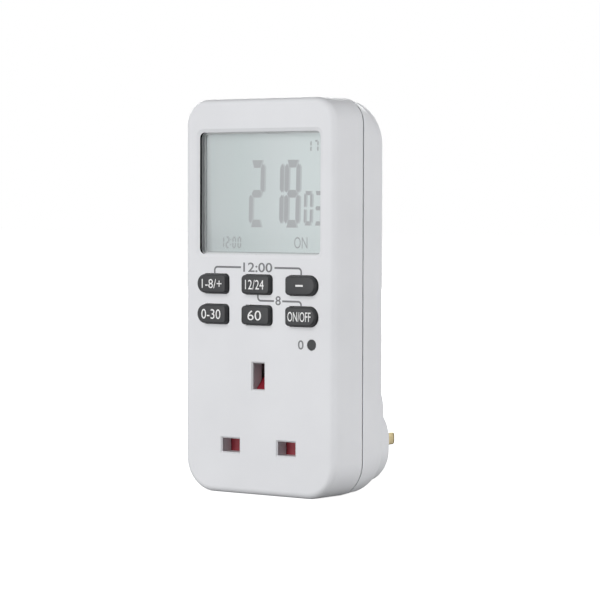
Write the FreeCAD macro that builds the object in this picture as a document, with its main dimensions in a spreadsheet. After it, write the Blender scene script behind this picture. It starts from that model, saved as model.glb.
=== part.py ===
import FreeCAD, Part
import math
import os
import Sketcher
from types import SimpleNamespace

Vector = FreeCAD.Vector

# Numbers that a sketch gives to the points of a line or arc and to its own two axes.
START = 1
END = 2
CENTRE = 3
LEVEL_AXIS = -1
UPRIGHT_AXIS = -2

# Lengths that differ by less than this count as equal.
TOLERANCE = 1e-4

# Driving sizes in millimetres. Depths are counted backwards from the front face,
# heights from the row of the live and neutral pins, widths from the centre line.
SIZES = {
    # Case
    "body_width": 59.6,
    "body_height": 124.66,
    "body_below_pins": 15.24,
    "body_depth": 28.0,
    "split_depth": 14.9,
    "seam_gap": 0.5,
    "side_wall": 2.0,
    "face_wall": 1.8,
    "rear_wall": 2.0,
    "face_top_radius": 8.2,
    "face_bottom_radius": 10.8,
    "rear_top_radius": 14.5,
    "rear_bottom_radius": 13.5,
    "front_edge_radius": 2.0,
    "rear_edge_radius": 4.5,
    "rear_band": 0.8,
    "rib_reach": 2.0,
    "rib_root": 1.5,
    "rib_thickness": 0.9,
    "rib_end_inset": 16.0,
    "fit_gap": 0.1,
    # Clips that hold the two boards
    "clip_lap": 0.9,
    "clip_land": 0.4,
    "clip_nose": 1.3,
    "clip_width": 6.0,
    "front_clip_z": 45.0,
    "rear_clip_low_z": 48.0,
    "rear_clip_top_drop": 24.0,
    # Plug base on the rear
    "plug_depth": 9.3,
    "plug_disc_radius": 22.0,
    "plug_disc_rise": 9.4,
    "plug_block_width": 48.2,
    "plug_block_top": 7.5,
    "plug_block_bottom": 13.0,
    "plug_shoulder_radius": 6.0,
    "plug_foot_radius": 11.0,
    "plug_edge": 1.2,
    "plug_wall": 2.2,
    "plug_hollow_half_width": 16.6,
    "plug_hollow_low": 9.6,
    "plug_hollow_mid": 5.4,
    "plug_hollow_neck": 7.0,
    "plug_hollow_top": 28.0,
    # Pins
    "pin_pitch": 22.23,
    "earth_rise": 22.23,
    "pin_width": 6.35,
    "pin_thickness": 3.97,
    "pin_length": 17.73,
    "earth_pin_height": 7.92,
    "earth_pin_length": 22.73,
    "pin_chamfer": 0.8,
    "sleeve_length": 9.3,
    "sleeve_wall": 0.7,
    "pin_head_margin": 1.1,
    "pin_head_thickness": 1.8,
    "pin_tail_width": 2.8,
    "pin_tail_height": 2.4,
    # Socket openings and shutter
    "slot_width": 6.95,
    "slot_height": 4.35,
    "earth_slot_width": 4.55,
    "earth_slot_height": 8.3,
    "slot_chamfer": 0.48,
    "slot_margin": 0.3,
    "collar_wall": 1.3,
    "collar_depth": 4.7,
    "shutter_gap": 0.2,
    "shutter_thickness": 2.2,
    "shutter_side_lap": 1.0,
    "shutter_lap": 0.5,
    "shutter_travel": 5.0,
    "stem_width": 4.2,
    "ramp_front": 2.1,
    "ramp_lip": 1.4,
    "ramp_height": 4.8,
    "ramp_back": 1.1,
    "spring_diameter": 3.0,
    "spring_wire": 0.45,
    "spring_turns": 4,
    "spring_inset": 0.73,
    "spigot_width": 1.2,
    "spigot_length": 1.3,
    "guide_half_width": 19.2,
    "guide_bottom": 13.1,
    "guide_top": 29.6,
    "guide_wall": 1.3,
    "guide_floor": 1.0,
    "guide_corner": 3.0,
    # Contacts, carrier and straps
    "contact_sheet": 0.8,
    "contact_width": 5.0,
    "contact_grip": 0.2,
    "contact_mouth": 1.0,
    "contact_front_gap": 0.6,
    "carrier_wall": 1.8,
    "carrier_half_width": 18.4,
    "carrier_foot_half_width": 20.8,
    "carrier_bottom": 8.6,
    "carrier_step": 1.0,
    "carrier_top": 29.8,
    "carrier_post": 3.4,
    "carrier_post_inset": 0.4,
    "barrier_spacing": 11.4,
    "barrier_wall": 1.2,
    "barrier_inset": 1.5,
    "strap_foot": 3.0,
    "strap_width": 4.0,
    "strap_end": 2.6,
    # Case screws and posts
    "post_width": 5.2,
    "well_floor": 3.0,
    "well_wall": 1.2,
    "well_depth": 8.0,
    "screw_head_diameter": 4.8,
    "screw_shank_diameter": 2.6,
    "screw_length": 12.0,
    "screw_hole_gap": 0.3,
    "screw_side_inset": 12.0,
    "screw_top_inset": 5.82,
    # Display
    "display_side_margin": 5.9,
    "display_top_margin": 10.6,
    "display_bottom": 60.62,
    "display_corner": 1.5,
    "display_bevel": 1.25,
    "window_flange_thickness": 0.675,
    "window_flange": 1.6,
    "frame_wall": 0.8,
    "frame_lip": 0.9,
    "frame_reveal": 0.4,
    "panel_margin": 1.0,
    "glass_thickness": 0.9,
    "glass_ledge": 3.0,
    "contact_strip_width": 1.8,
    # Keys
    "key_height": 6.1,
    "outer_key_width": 11.74,
    "outer_key_margin": 6.26,
    "middle_key_width": 11.2,
    "key_corner": 1.3,
    "key_end_flat": 0.05,
    "upper_key_z": 51.07,
    "lower_key_z": 41.44,
    "key_rise": 1.85,
    "key_gap": 0.22,
    "key_flange": 0.9,
    "key_flange_gap": 0.05,
    "key_flange_thickness": 0.8,
    "key_stem_width": 3.2,
    "key_stem_end": 6.9,
    "reset_inset": 8.7,
    "reset_z": 32.8,
    "reset_diameter": 3.3,
    "reset_gap": 0.11,
    "reset_flange": 0.8,
    # Keypad mat and control board
    "board_depth": 8.0,
    "board_thickness": 1.6,
    "board_side_gap": 1.2,
    "board_bottom": 29.9,
    "board_top_gap": 1.42,
    "mat_thickness": 0.8,
    "mat_side_gap": 2.4,
    "mat_bottom": 30.0,
    "mat_top": 55.4,
    "cup_width": 6.4,
    "cup_height": 3.0,
    "cup_bore": 3.8,
    "reset_cup_width": 5.4,
    # Power board; what stands on it is placed by a share of its half width and of its height
    "power_board_stand": 2.0,
    "power_board_side_gap": 2.4,
    "power_board_bottom": 35.6,
    "power_board_top_gap": 8.42,
    "component_edge": 0.5,
    "lead_width": 0.8,
    "relay_share_x": 0.47,
    "relay_share_z": 0.61,
    "relay_width": 15.0,
    "relay_length": 26.0,
    "relay_clearance": 0.8,
    "tall_clearance": 1.8,
    "mains_capacitor_share_x": -0.47,
    "mains_capacitor_share_z": 0.21,
    "mains_capacitor_width": 18.0,
    "mains_capacitor_length": 7.0,
    "resistor_share_x": -0.47,
    "resistor_share_z": 0.36,
    "resistor_thickness": 4.6,
    "resistor_length": 12.0,
    "resistor_stand": 1.5,
    "varistor_share_x": -0.75,
    "varistor_share_z": 0.51,
    "varistor_thickness": 4.0,
    "varistor_stand": 2.0,
    "smoothing_share_x": -0.31,
    "smoothing_share_z": 0.53,
    "smoothing_diameter": 8.0,
    "battery_share_x": -0.4,
    "battery_share_z": 0.81,
    "battery_diameter": 15.5,
    "battery_height": 6.0,
    "rectifier_share_x": 0.47,
    "rectifier_share_z": 0.26,
    "rectifier_width": 8.6,
    "rectifier_length": 6.4,
    "rectifier_height": 3.4,
    "header_share_x": 0.35,
    "header_share_z": 0.92,
    "header_width": 15.2,
    "header_thickness": 2.5,
    "header_socket_height": 8.5,
    "header_plug_width": 13.8,
    "header_plug_thickness": 1.9,
    # On the control board, placed in the same way
    "chip_share_x": -0.34,
    "chip_share_z": 0.64,
    "chip_width": 12.0,
    "chip_height": 1.8,
    "crystal_share_x": -0.62,
    "crystal_share_z": 0.81,
    "crystal_width": 6.0,
    "crystal_length": 3.4,
    "crystal_height": 1.2,
}

doc = FreeCAD.newDocument("PlugInTimer")
sheet = doc.addObject("Spreadsheet::Sheet", "sizes")
for row, (alias, number) in enumerate(SIZES.items(), start=1):
    sheet.set(f"A{row}", alias)
    sheet.set(f"B{row}", str(number))
    sheet.setAlias(f"B{row}", alias)
doc.recompute()


class Size:
    # A number together with the sheet formula that gives it.
    def __init__(self, number, formula):
        self.number = number
        self.formula = formula

    def __add__(self, other):
        other = as_size(other)
        return Size(self.number + other.number, f"({self.formula} + {other.formula})")

    def __sub__(self, other):
        other = as_size(other)
        return Size(self.number - other.number, f"({self.formula} - {other.formula})")

    def __mul__(self, other):
        other = as_size(other)
        return Size(self.number * other.number, f"({self.formula} * {other.formula})")

    def __truediv__(self, other):
        other = as_size(other)
        return Size(self.number / other.number, f"({self.formula} / {other.formula})")

    def __neg__(self):
        return Size(-self.number, f"(0 - {self.formula})")

    __radd__ = __add__
    __rmul__ = __mul__


def as_size(value):
    if isinstance(value, Size):
        return value
    return Size(float(value), str(float(value)))


s = SimpleNamespace(**{alias: Size(number, f"sizes.{alias}") for alias, number in SIZES.items()})

# Places that several pieces share.
zero = as_size(0)
front_y = -(s.body_depth + s.plug_depth)
plug_face = s.body_depth + s.plug_depth
half_width = s.body_width / 2
body_top = s.body_height - s.body_below_pins
body_bottom = -s.body_below_pins
side_inside = half_width - s.side_wall
top_inside = body_top - s.side_wall
bottom_inside = body_bottom + s.side_wall
front_rim = s.split_depth - s.seam_gap / 2
rear_rim = s.split_depth + s.seam_gap / 2
rear_inside = s.body_depth - s.rear_wall
plug_inside = plug_face - s.plug_wall
screw_seat = s.body_depth - s.well_depth
post_end = screw_seat - s.well_floor
screw_x = half_width - s.screw_side_inset
screw_z = body_top - s.screw_top_inset

# Socket, shutter and contacts
pin_x = s.pin_pitch / 2
earth_slot_low = s.earth_rise - s.earth_slot_height / 2
earth_slot_high = s.earth_rise + s.earth_slot_height / 2
shutter_front = s.collar_depth + s.shutter_gap
shutter_back = shutter_front + s.shutter_thickness
shutter_half_height = s.slot_height / 2 + s.shutter_lap
ramp_start = earth_slot_low + s.shutter_gap
wedge_low = ramp_start - s.ramp_lip - shutter_front + s.ramp_front
spring_depth = shutter_front + s.spring_inset
guide_front = shutter_back + s.shutter_gap
guide_back = guide_front + s.guide_wall

# Boards
board_half_width = side_inside - s.board_side_gap
board_top = top_inside - s.board_top_gap
board_back = s.board_depth + s.board_thickness
power_board_back = rear_inside - s.power_board_stand
power_board_front = power_board_back - s.board_thickness
power_half_width = side_inside - s.power_board_side_gap
power_board_top = top_inside - s.power_board_top_gap
board_room = power_board_front - board_back
carrier_back = power_board_front - s.contact_sheet
carrier_depth = carrier_back - s.carrier_wall
contact_length = carrier_depth - guide_back - s.contact_front_gap

# Display
display_width = s.body_width - 2 * s.display_side_margin
display_high = body_top - s.display_top_margin
display_height = display_high - s.display_bottom
display_centre_z = (display_high + s.display_bottom) / 2
window_back = s.face_wall + s.window_flange_thickness
panel_front = window_back + s.frame_lip
panel_back = panel_front + 2 * s.glass_thickness

# Keys
outer_key_x = half_width - s.outer_key_margin - s.outer_key_width / 2
reset_x = half_width - s.reset_inset
key_flange_front = s.face_wall + s.key_flange_gap
key_flange_back = key_flange_front + s.key_flange_thickness

# Each key: node name, centre, width and the side of its half round end.
KEYS = [
    ("key_plus", -outer_key_x, s.upper_key_z, s.outer_key_width, -1),
    ("key_set", zero, s.upper_key_z, s.middle_key_width, 0),
    ("key_minus", outer_key_x, s.upper_key_z, s.outer_key_width, 1),
    ("key_random", -outer_key_x, s.lower_key_z, s.outer_key_width, -1),
    ("key_count", zero, s.lower_key_z, s.middle_key_width, 0),
    ("key_on_off", outer_key_x, s.lower_key_z, s.outer_key_width, 1),
]
KEY_PLACES = [(x, z) for name, x, z, width, round_side in KEYS]
KEY_PLACES.append((reset_x, s.reset_z))
CASE_SCREWS = [(-screw_x, screw_z), (screw_x, screw_z)]

# Flats round the wire of the shutter spring.
WIRE_FLATS = 4

# Each pin where it passes the plug base: centre, width and height.
PIN_OUTLINES = [
    (-pin_x, zero, s.pin_width, s.pin_thickness),
    (pin_x, zero, s.pin_width, s.pin_thickness),
    (zero, s.earth_rise, s.pin_thickness, s.earth_pin_height),
]

parts = []


def set_size(thing, name, value):
    # Binds one property of an object to the sheet.
    value = as_size(value)
    thing.setExpression(name, value.formula)


def set_place(thing, x, depth, z):
    # Puts an object at a point given from the front face.
    set_size(thing, "Placement.Base.x", x)
    set_size(thing, "Placement.Base.y", front_y + depth)
    set_size(thing, "Placement.Base.z", z)


def new_body(label, x=zero, depth=zero, z=zero):
    body = doc.addObject("PartDesign::Body", label)
    body.Label = label
    set_place(body, x, depth, z)
    parts.append(body)
    return body


def new_sketch(body, name, offset=zero, plane="XZ_Plane"):
    # The face plane looks forward, so a depth is a negative offset on it.
    sketch = body.newObject("Sketcher::SketchObject", name)
    origin_plane = [item for item in body.Origin.OriginFeatures if item.Role == plane][0]
    sketch.AttachmentSupport = [(origin_plane, "")]
    sketch.MapMode = "FlatFace"
    if plane == "XZ_Plane":
        offset = -as_size(offset)
    set_size(sketch, "AttachmentOffset.Base.z", offset)
    return sketch


def fix(sketch, kind, geometry, point, value):
    # A distance of a point from the sketch origin, bound to the sheet.
    value = as_size(value)
    if abs(value.number) < TOLERANCE:
        axis = UPRIGHT_AXIS if kind == "DistanceX" else LEVEL_AXIS
        sketch.addConstraint(Sketcher.Constraint("PointOnObject", geometry, point, axis))
        return
    constraint = Sketcher.Constraint(kind, LEVEL_AXIS, START, geometry, point, value.number)
    index = sketch.addConstraint(constraint)
    sketch.setExpression(f"Constraints[{index}]", value.formula)


def add_circle(sketch, x, y, radius):
    x = as_size(x)
    y = as_size(y)
    radius = as_size(radius)
    circle = Part.Circle(Vector(x.number, y.number, 0), Vector(0, 0, 1), radius.number)
    geometry = sketch.addGeometry(circle, False)
    fix(sketch, "DistanceX", geometry, CENTRE, x)
    fix(sketch, "DistanceY", geometry, CENTRE, y)
    index = sketch.addConstraint(Sketcher.Constraint("Radius", geometry, radius.number))
    sketch.setExpression(f"Constraints[{index}]", radius.formula)


def add_polygon(sketch, points):
    # A closed outline of straight lines through points given as sizes.
    points = [(as_size(x), as_size(y)) for x, y in points]
    following = points[1:] + points[:1]
    lines = []
    for (x0, y0), (x1, y1) in zip(points, following):
        line = Part.LineSegment(Vector(x0.number, y0.number, 0), Vector(x1.number, y1.number, 0))
        lines.append(sketch.addGeometry(line, False))
    for line, next_line in zip(lines, lines[1:] + lines[:1]):
        sketch.addConstraint(Sketcher.Constraint("Coincident", line, END, next_line, START))
    for line, (x, y) in zip(lines, points):
        fix(sketch, "DistanceX", line, START, x)
        fix(sketch, "DistanceY", line, START, y)


def add_outline(sketch, corners):
    # A closed outline of level and upright lines; each corner has its own radius.
    corners = [(as_size(x), as_size(y), as_size(radius)) for x, y, radius in corners]
    count = len(corners)
    points = [Vector(x.number, y.number, 0) for x, y, radius in corners]
    directions = [(points[(i + 1) % count] - points[i]).normalize() for i in range(count)]
    lines = []
    for i in range(count):
        start = points[i] + directions[i] * corners[i][2].number
        end = points[(i + 1) % count] - directions[i] * corners[(i + 1) % count][2].number
        lines.append(sketch.addGeometry(Part.LineSegment(start, end), False))
    for i in range(count):
        x, y, radius = corners[i]
        before = lines[i - 1]
        after = lines[i]
        arriving = directions[i - 1]
        leaving = directions[i]
        if radius.number == 0:
            sketch.addConstraint(Sketcher.Constraint("Coincident", before, END, after, START))
            continue
        start = points[i] - arriving * radius.number
        end = points[i] + leaving * radius.number
        centre = start + leaving * radius.number
        turns_left = arriving.cross(leaving).z > 0
        if not turns_left:
            start, end = end, start
        start_angle = math.atan2(start.y - centre.y, start.x - centre.x)
        end_angle = math.atan2(end.y - centre.y, end.x - centre.x)
        circle = Part.Circle(centre, Vector(0, 0, 1), radius.number)
        arc = sketch.addGeometry(Part.ArcOfCircle(circle, start_angle, end_angle), False)
        first_end, second_end = (START, END) if turns_left else (END, START)
        sketch.addConstraint(Sketcher.Constraint("Tangent", before, END, arc, first_end))
        sketch.addConstraint(Sketcher.Constraint("Tangent", arc, second_end, after, START))
        index = sketch.addConstraint(Sketcher.Constraint("Radius", arc, radius.number))
        sketch.setExpression(f"Constraints[{index}]", radius.formula)
    for i in range(count):
        x, y, radius = corners[i]
        if abs(directions[i].x) > 0.5:
            sketch.addConstraint(Sketcher.Constraint("Horizontal", lines[i]))
            fix(sketch, "DistanceY", lines[i], START, y)
        else:
            sketch.addConstraint(Sketcher.Constraint("Vertical", lines[i]))
            fix(sketch, "DistanceX", lines[i], START, x)


def add_rectangle(sketch, left, right, bottom, top, radius=0, top_radius=None):
    # A rectangle whose upper corners may have a radius of their own.
    if top_radius is None:
        top_radius = radius
    add_outline(sketch, [
        (left, bottom, radius),
        (right, bottom, radius),
        (right, top, top_radius),
        (left, top, top_radius),
    ])


def settle(feature):
    # Recomputes, and stops at once if the feature did not build.
    doc.recompute()
    if "Invalid" in feature.State or "Touched" in feature.State:
        raise RuntimeError(f"{feature.Label} did not build: {feature.getStatusString()}")
    return feature


def add_feature(body, kind, name, sketch, length, forward, taper=None):
    before = body.Shape.Volume if body.Tip else 0
    feature = body.newObject(f"PartDesign::{kind}", name)
    feature.Profile = sketch
    set_size(feature, "Length", length)
    feature.Reversed = forward if kind == "Pocket" else not forward
    if taper is not None:
        set_size(feature, "TaperAngle", taper)
    settle(feature)
    change = body.Shape.Volume - before
    if (change > 0) != (kind == "Pad"):
        raise RuntimeError(f"{name} changed the volume by {change:.3f}")
    return feature


def pad(body, name, sketch, length, forward=False, taper=None):
    # Adds material from the sketch backwards, or forwards.
    return add_feature(body, "Pad", name, sketch, length, forward, taper)


def pocket(body, name, sketch, length, forward=False, taper=None):
    # Cuts from the sketch backwards, or forwards.
    return add_feature(body, "Pocket", name, sketch, length, forward, taper)


def pad_across(body, name, sketch, length):
    # Adds material to both sides of the sketch.
    feature = body.newObject("PartDesign::Pad", name)
    feature.Profile = sketch
    feature.SideType = "Symmetric"
    set_size(feature, "Length", length)
    return settle(feature)


def edges_at(feature, depth, box=None):
    # Names of the edges that lie in one depth plane, inside a box of x and z.
    level = as_size(depth).number
    names = []
    for index, edge in enumerate(feature.Shape.Edges, start=1):
        bounds = edge.BoundBox
        in_plane = abs(bounds.YMin - level) < TOLERANCE and abs(bounds.YMax - level) < TOLERANCE
        if not in_plane:
            continue
        if box is not None:
            left, right, bottom, top = [as_size(side).number for side in box]
            if bounds.XMin < left - TOLERANCE or bounds.XMax > right + TOLERANCE:
                continue
            if bounds.ZMin < bottom - TOLERANCE or bounds.ZMax > top + TOLERANCE:
                continue
        names.append(f"Edge{index}")
    return names


def round_edges(body, name, feature, edges, radius):
    fillet = body.newObject("PartDesign::Fillet", name)
    fillet.Base = (feature, edges)
    set_size(fillet, "Radius", radius)
    return settle(fillet)


def chamfer_edges(body, name, feature, edges, size):
    chamfer = body.newObject("PartDesign::Chamfer", name)
    chamfer.Base = (feature, edges)
    set_size(chamfer, "Size", size)
    return settle(chamfer)


def case_outline(sketch, inset, bottom_radius, top_radius):
    # The case outline, drawn in by a wall or part of one.
    add_rectangle(
        sketch,
        inset - half_width,
        half_width - inset,
        body_bottom + inset,
        body_top - inset,
        bottom_radius - inset,
        top_radius - inset,
    )


def key_outline(width, round_side, grow):
    # One key seen from the front; the outer keys have one half round end.
    half = width / 2 + grow
    height = s.key_height / 2 + grow
    round_end = height - s.key_end_flat
    corner = s.key_corner + grow
    left = round_end if round_side < 0 else corner
    right = round_end if round_side > 0 else corner
    return [
        (-half, -height, left),
        (half, -height, right),
        (half, height, right),
        (-half, height, left),
    ]


def moved(corners, x, z):
    return [(x + corner_x, z + corner_z, radius) for corner_x, corner_z, radius in corners]


def clip_profile(wall, board_edge, root, near, far, towards):
    # A rib with a ledge and a snap nose that grip the edge of a board. The board
    # lies between near and far; towards is the way from the root to the nose.
    lap = board_edge - s.clip_lap
    clear = board_edge + s.fit_gap
    return [
        (wall, root),
        (lap, root),
        (lap, near),
        (clear, near),
        (clear, far),
        (lap, far),
        (lap, far + towards * s.clip_land),
        (clear, far + towards * s.clip_nose),
        (wall, far + towards * s.clip_nose),
    ]


def mirrored(points):
    return [(-x, y) for x, y in points]


def side_pair(body, name, z, points, length):
    # The same profile on the left and the right wall, drawn from above.
    profile = new_sketch(body, f"{name}_profile", z, "XY_Plane")
    add_polygon(profile, points)
    add_polygon(profile, mirrored(points))
    pad_across(body, name, profile, length)


def front_cover():
    body = new_body("front_cover")
    outline = new_sketch(body, "face_outline")
    case_outline(outline, zero, s.face_bottom_radius, s.face_top_radius)
    block = pad(body, "face_block", outline, front_rim)
    round_edges(body, "face_edge", block, edges_at(block, 0), s.front_edge_radius)

    hollow = new_sketch(body, "hollow_outline", front_rim)
    case_outline(hollow, s.side_wall, s.face_bottom_radius, s.face_top_radius)
    pocket(body, "hollow", hollow, front_rim - s.face_wall, forward=True)

    # Collars round the socket openings; the earth one is open below for the ramp
    collars = new_sketch(body, "collar_outlines", s.face_wall)
    half = s.slot_width / 2 + s.collar_wall
    rise = s.slot_height / 2 + s.collar_wall
    for x in (-pin_x, pin_x):
        add_rectangle(collars, x - half, x + half, -rise, rise)
    half = s.earth_slot_width / 2 + s.collar_wall
    hood_low = earth_slot_low - s.collar_wall
    add_rectangle(collars, -half, half, hood_low, earth_slot_high + s.collar_wall)
    pad(body, "collars", collars, s.collar_depth - s.face_wall)
    gap = new_sketch(body, "ramp_gap_outline", s.face_wall)
    half = s.earth_slot_width / 2
    add_rectangle(gap, -half, half, hood_low - s.collar_wall, s.earth_rise)
    pocket(body, "ramp_gap", gap, s.collar_depth - s.face_wall)

    posts = new_sketch(body, "post_outlines", s.face_wall)
    bores = new_sketch(body, "post_bores", post_end)
    for x, z in CASE_SCREWS:
        half = s.post_width / 2
        add_rectangle(posts, x - half, x + half, z - half, z + half)
        add_circle(bores, x, z, s.screw_shank_diameter / 2)
    pad(body, "posts", posts, post_end - s.face_wall)
    pocket(body, "post_bore", bores, s.screw_length - s.well_floor, forward=True)

    # Clips for the control board, two on the side walls and one under the top
    side_clip = clip_profile(side_inside, board_half_width, s.face_wall, s.board_depth, board_back, 1)
    side_pair(body, "side_clips", s.front_clip_z, side_clip, s.clip_width)
    top_clip = clip_profile(top_inside, board_top, s.face_wall, s.board_depth, board_back, 1)
    profile = new_sketch(body, "top_clip_profile", zero, "YZ_Plane")
    add_polygon(profile, [(depth, z) for z, depth in top_clip])
    pad_across(body, "top_clip", profile, s.clip_width)

    keys = new_sketch(body, "key_holes")
    for name, x, z, width, round_side in KEYS:
        add_outline(keys, moved(key_outline(width, round_side, s.key_gap), x, z))
    add_circle(keys, reset_x, s.reset_z, s.reset_diameter / 2 + s.reset_gap)
    pocket(body, "key_openings", keys, s.face_wall)

    slots = new_sketch(body, "slot_outlines")
    half = s.slot_width / 2
    rise = s.slot_height / 2
    for x in (-pin_x, pin_x):
        add_rectangle(slots, x - half, x + half, -rise, rise)
    half = s.earth_slot_width / 2
    add_rectangle(slots, -half, half, earth_slot_low, earth_slot_high)
    cut = pocket(body, "slots", slots, s.collar_depth)
    reach = pin_x + s.slot_width
    mouth_box = (-reach, reach, -s.slot_height, s.guide_top)
    chamfer_edges(body, "slot_mouths", cut, edges_at(cut, 0, mouth_box), s.slot_chamfer)

    window = new_sketch(body, "display_opening")
    half = display_width / 2
    add_rectangle(window, -half, half, s.display_bottom, display_high, s.display_corner)
    cut = pocket(body, "display_cut", window, s.face_wall)
    bevel_box = (-half, half, s.display_bottom, display_high)
    chamfer_edges(body, "display_bevel_edge", cut, edges_at(cut, 0, bevel_box), s.display_bevel)


def loft(body, name, first, second):
    feature = body.newObject("PartDesign::AdditiveLoft", name)
    feature.Profile = first
    feature.Sections = [second]
    feature.Ruled = True
    return settle(feature)


def rear_cover():
    body = new_body("rear_cover")
    # The back block has the rounded rear edge; a loft leads from the split to it
    band = s.rear_edge_radius + s.rear_band
    back = new_sketch(body, "back_outline", s.body_depth - band)
    case_outline(back, zero, s.rear_bottom_radius, s.rear_top_radius)
    block = pad(body, "back_block", back, band)
    round_edges(body, "rear_edge", block, edges_at(block, s.body_depth), s.rear_edge_radius)
    front = new_sketch(body, "split_outline", rear_rim)
    case_outline(front, zero, s.face_bottom_radius, s.face_top_radius)
    loft_back = new_sketch(body, "loft_back_outline", s.body_depth - band)
    case_outline(loft_back, zero, s.rear_bottom_radius, s.rear_top_radius)
    loft(body, "shell", front, loft_back)
    hollow = new_sketch(body, "hollow_outline", rear_rim)
    case_outline(hollow, s.side_wall, s.rear_bottom_radius, s.rear_top_radius)
    pocket(body, "cavity", hollow, rear_inside - rear_rim)

    # Straight ribs along the four walls stand inside the front cover
    rib_outside = s.fit_gap
    rib_inside = s.fit_gap + s.rib_thickness
    rib_front = s.split_depth - s.rib_reach
    rib_back = rear_rim + s.rib_root
    side_rib = [
        (side_inside - rib_inside, rib_front),
        (side_inside - rib_outside, rib_front),
        (side_inside - rib_outside, rear_rim),
        (side_inside, rear_rim),
        (side_inside, rib_back),
        (side_inside - rib_inside, rib_back),
    ]
    centre_z = (body_top + body_bottom) / 2
    side_pair(body, "side_ribs", centre_z, side_rib, s.body_height - 2 * s.rib_end_inset)
    profile = new_sketch(body, "end_rib_profiles", zero, "YZ_Plane")
    for inside, inwards in ((top_inside, -1), (bottom_inside, 1)):
        add_polygon(profile, [
            (rib_front, inside + inwards * rib_inside),
            (rib_front, inside + inwards * rib_outside),
            (rear_rim, inside + inwards * rib_outside),
            (rear_rim, inside),
            (rib_back, inside),
            (rib_back, inside + inwards * rib_inside),
        ])
    pad_across(body, "end_ribs", profile, s.body_width - 2 * s.rib_end_inset)

    # The plug base is a disc on a block with rounded feet
    disc = new_sketch(body, "plug_disc", rear_inside)
    add_circle(disc, 0, s.plug_disc_rise, s.plug_disc_radius)
    pad(body, "plug_disc_pad", disc, plug_face - rear_inside)
    block = new_sketch(body, "plug_block", rear_inside)
    half = s.plug_block_width / 2
    low = -s.plug_block_bottom
    add_rectangle(block, -half, half, low, s.plug_block_top, s.plug_foot_radius, s.plug_shoulder_radius)
    boss = pad(body, "plug_block_pad", block, plug_face - rear_inside)
    chamfer_edges(body, "plug_base_edge", boss, edges_at(boss, plug_face), s.plug_edge)
    plug_hollow = new_sketch(body, "plug_hollow", rear_inside)
    half = s.plug_hollow_half_width
    neck = s.plug_hollow_neck
    add_polygon(plug_hollow, [
        (-half, -s.plug_hollow_low),
        (half, -s.plug_hollow_low),
        (half, s.plug_hollow_mid),
        (neck, s.plug_hollow_mid),
        (neck, s.plug_hollow_top),
        (-neck, s.plug_hollow_top),
        (-neck, s.plug_hollow_mid),
        (-half, s.plug_hollow_mid),
    ])
    pocket(body, "plug_cavity", plug_hollow, plug_inside - rear_inside)
    pins = new_sketch(body, "pin_holes", plug_inside)
    grow = s.fit_gap / 2
    for x, z, width, height in PIN_OUTLINES:
        across = width / 2 + grow
        up = height / 2 + grow
        add_rectangle(pins, x - across, x + across, z - up, z + up)
    pocket(body, "pin_hole", pins, s.plug_wall)

    # Deep wells for the two case screws
    wells = new_sketch(body, "well_tubes", post_end)
    well_bores = new_sketch(body, "well_bores", s.body_depth)
    shank_holes = new_sketch(body, "shank_holes", post_end)
    bore = s.screw_head_diameter / 2 + s.screw_hole_gap
    half = bore + s.well_wall
    for x, z in CASE_SCREWS:
        add_rectangle(wells, x - half, x + half, z - half, z + half)
        add_circle(well_bores, x, z, bore)
        add_circle(shank_holes, x, z, s.screw_shank_diameter / 2 + s.screw_hole_gap)
    pad(body, "well_tube", wells, rear_inside - post_end)
    pocket(body, "well_bore", well_bores, s.well_depth, forward=True)
    pocket(body, "shank_hole", shank_holes, s.well_floor)

    # Clips for the power board and square posts behind the contact carrier
    clip = clip_profile(side_inside, power_half_width, rear_inside, power_board_back, power_board_front, -1)
    side_pair(body, "low_clips", s.rear_clip_low_z, clip, s.clip_width)
    side_pair(body, "high_clips", power_board_top - s.rear_clip_top_drop, clip, s.clip_width)
    posts = new_sketch(body, "carrier_posts", carrier_back)
    low = s.carrier_post_inset - s.carrier_bottom
    high = s.carrier_top - s.carrier_post_inset - s.carrier_post
    for plate_half, z in ((s.carrier_foot_half_width, low), (s.carrier_half_width, high)):
        outer = plate_half - s.carrier_post_inset
        inner = outer - s.carrier_post
        add_rectangle(posts, -outer, -inner, z, z + s.carrier_post)
        add_rectangle(posts, inner, outer, z, z + s.carrier_post)
    pad(body, "carrier_post", posts, rear_inside - carrier_back)


def plug_pin(label, outline, length, sleeve_wall, tail_end):
    # A pin with its head inside the plug base and a tail towards the contacts.
    x, z, width, height = outline
    body = new_body(label, x, plug_face, z)
    neck_width = width - 2 * sleeve_wall
    neck_height = height - 2 * sleeve_wall
    neck = new_sketch(body, "neck_outline", -s.plug_wall)
    add_rectangle(neck, -neck_width / 2, neck_width / 2, -neck_height / 2, neck_height / 2)
    pad(body, "neck", neck, s.sleeve_length + s.plug_wall)
    blade = new_sketch(body, "blade_outline", s.sleeve_length)
    add_rectangle(blade, -width / 2, width / 2, -height / 2, height / 2)
    tip = pad(body, "blade", blade, length - s.sleeve_length)
    chamfer_edges(body, "tip_chamfer", tip, edges_at(tip, length), s.pin_chamfer)
    head = new_sketch(body, "head_outline", -s.plug_wall)
    half = width / 2 + s.pin_head_margin
    rise = height / 2 + s.pin_head_margin
    add_rectangle(head, -half, half, -rise, rise)
    pad(body, "head", head, s.pin_head_thickness, forward=True)
    tail = new_sketch(body, "tail_outline", -s.plug_wall - s.pin_head_thickness)
    half = s.pin_tail_width / 2
    rise = s.pin_tail_height / 2
    add_rectangle(tail, -half, half, -rise, rise)
    pad(body, "tail", tail, plug_inside - s.pin_head_thickness - tail_end, forward=True)


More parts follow.
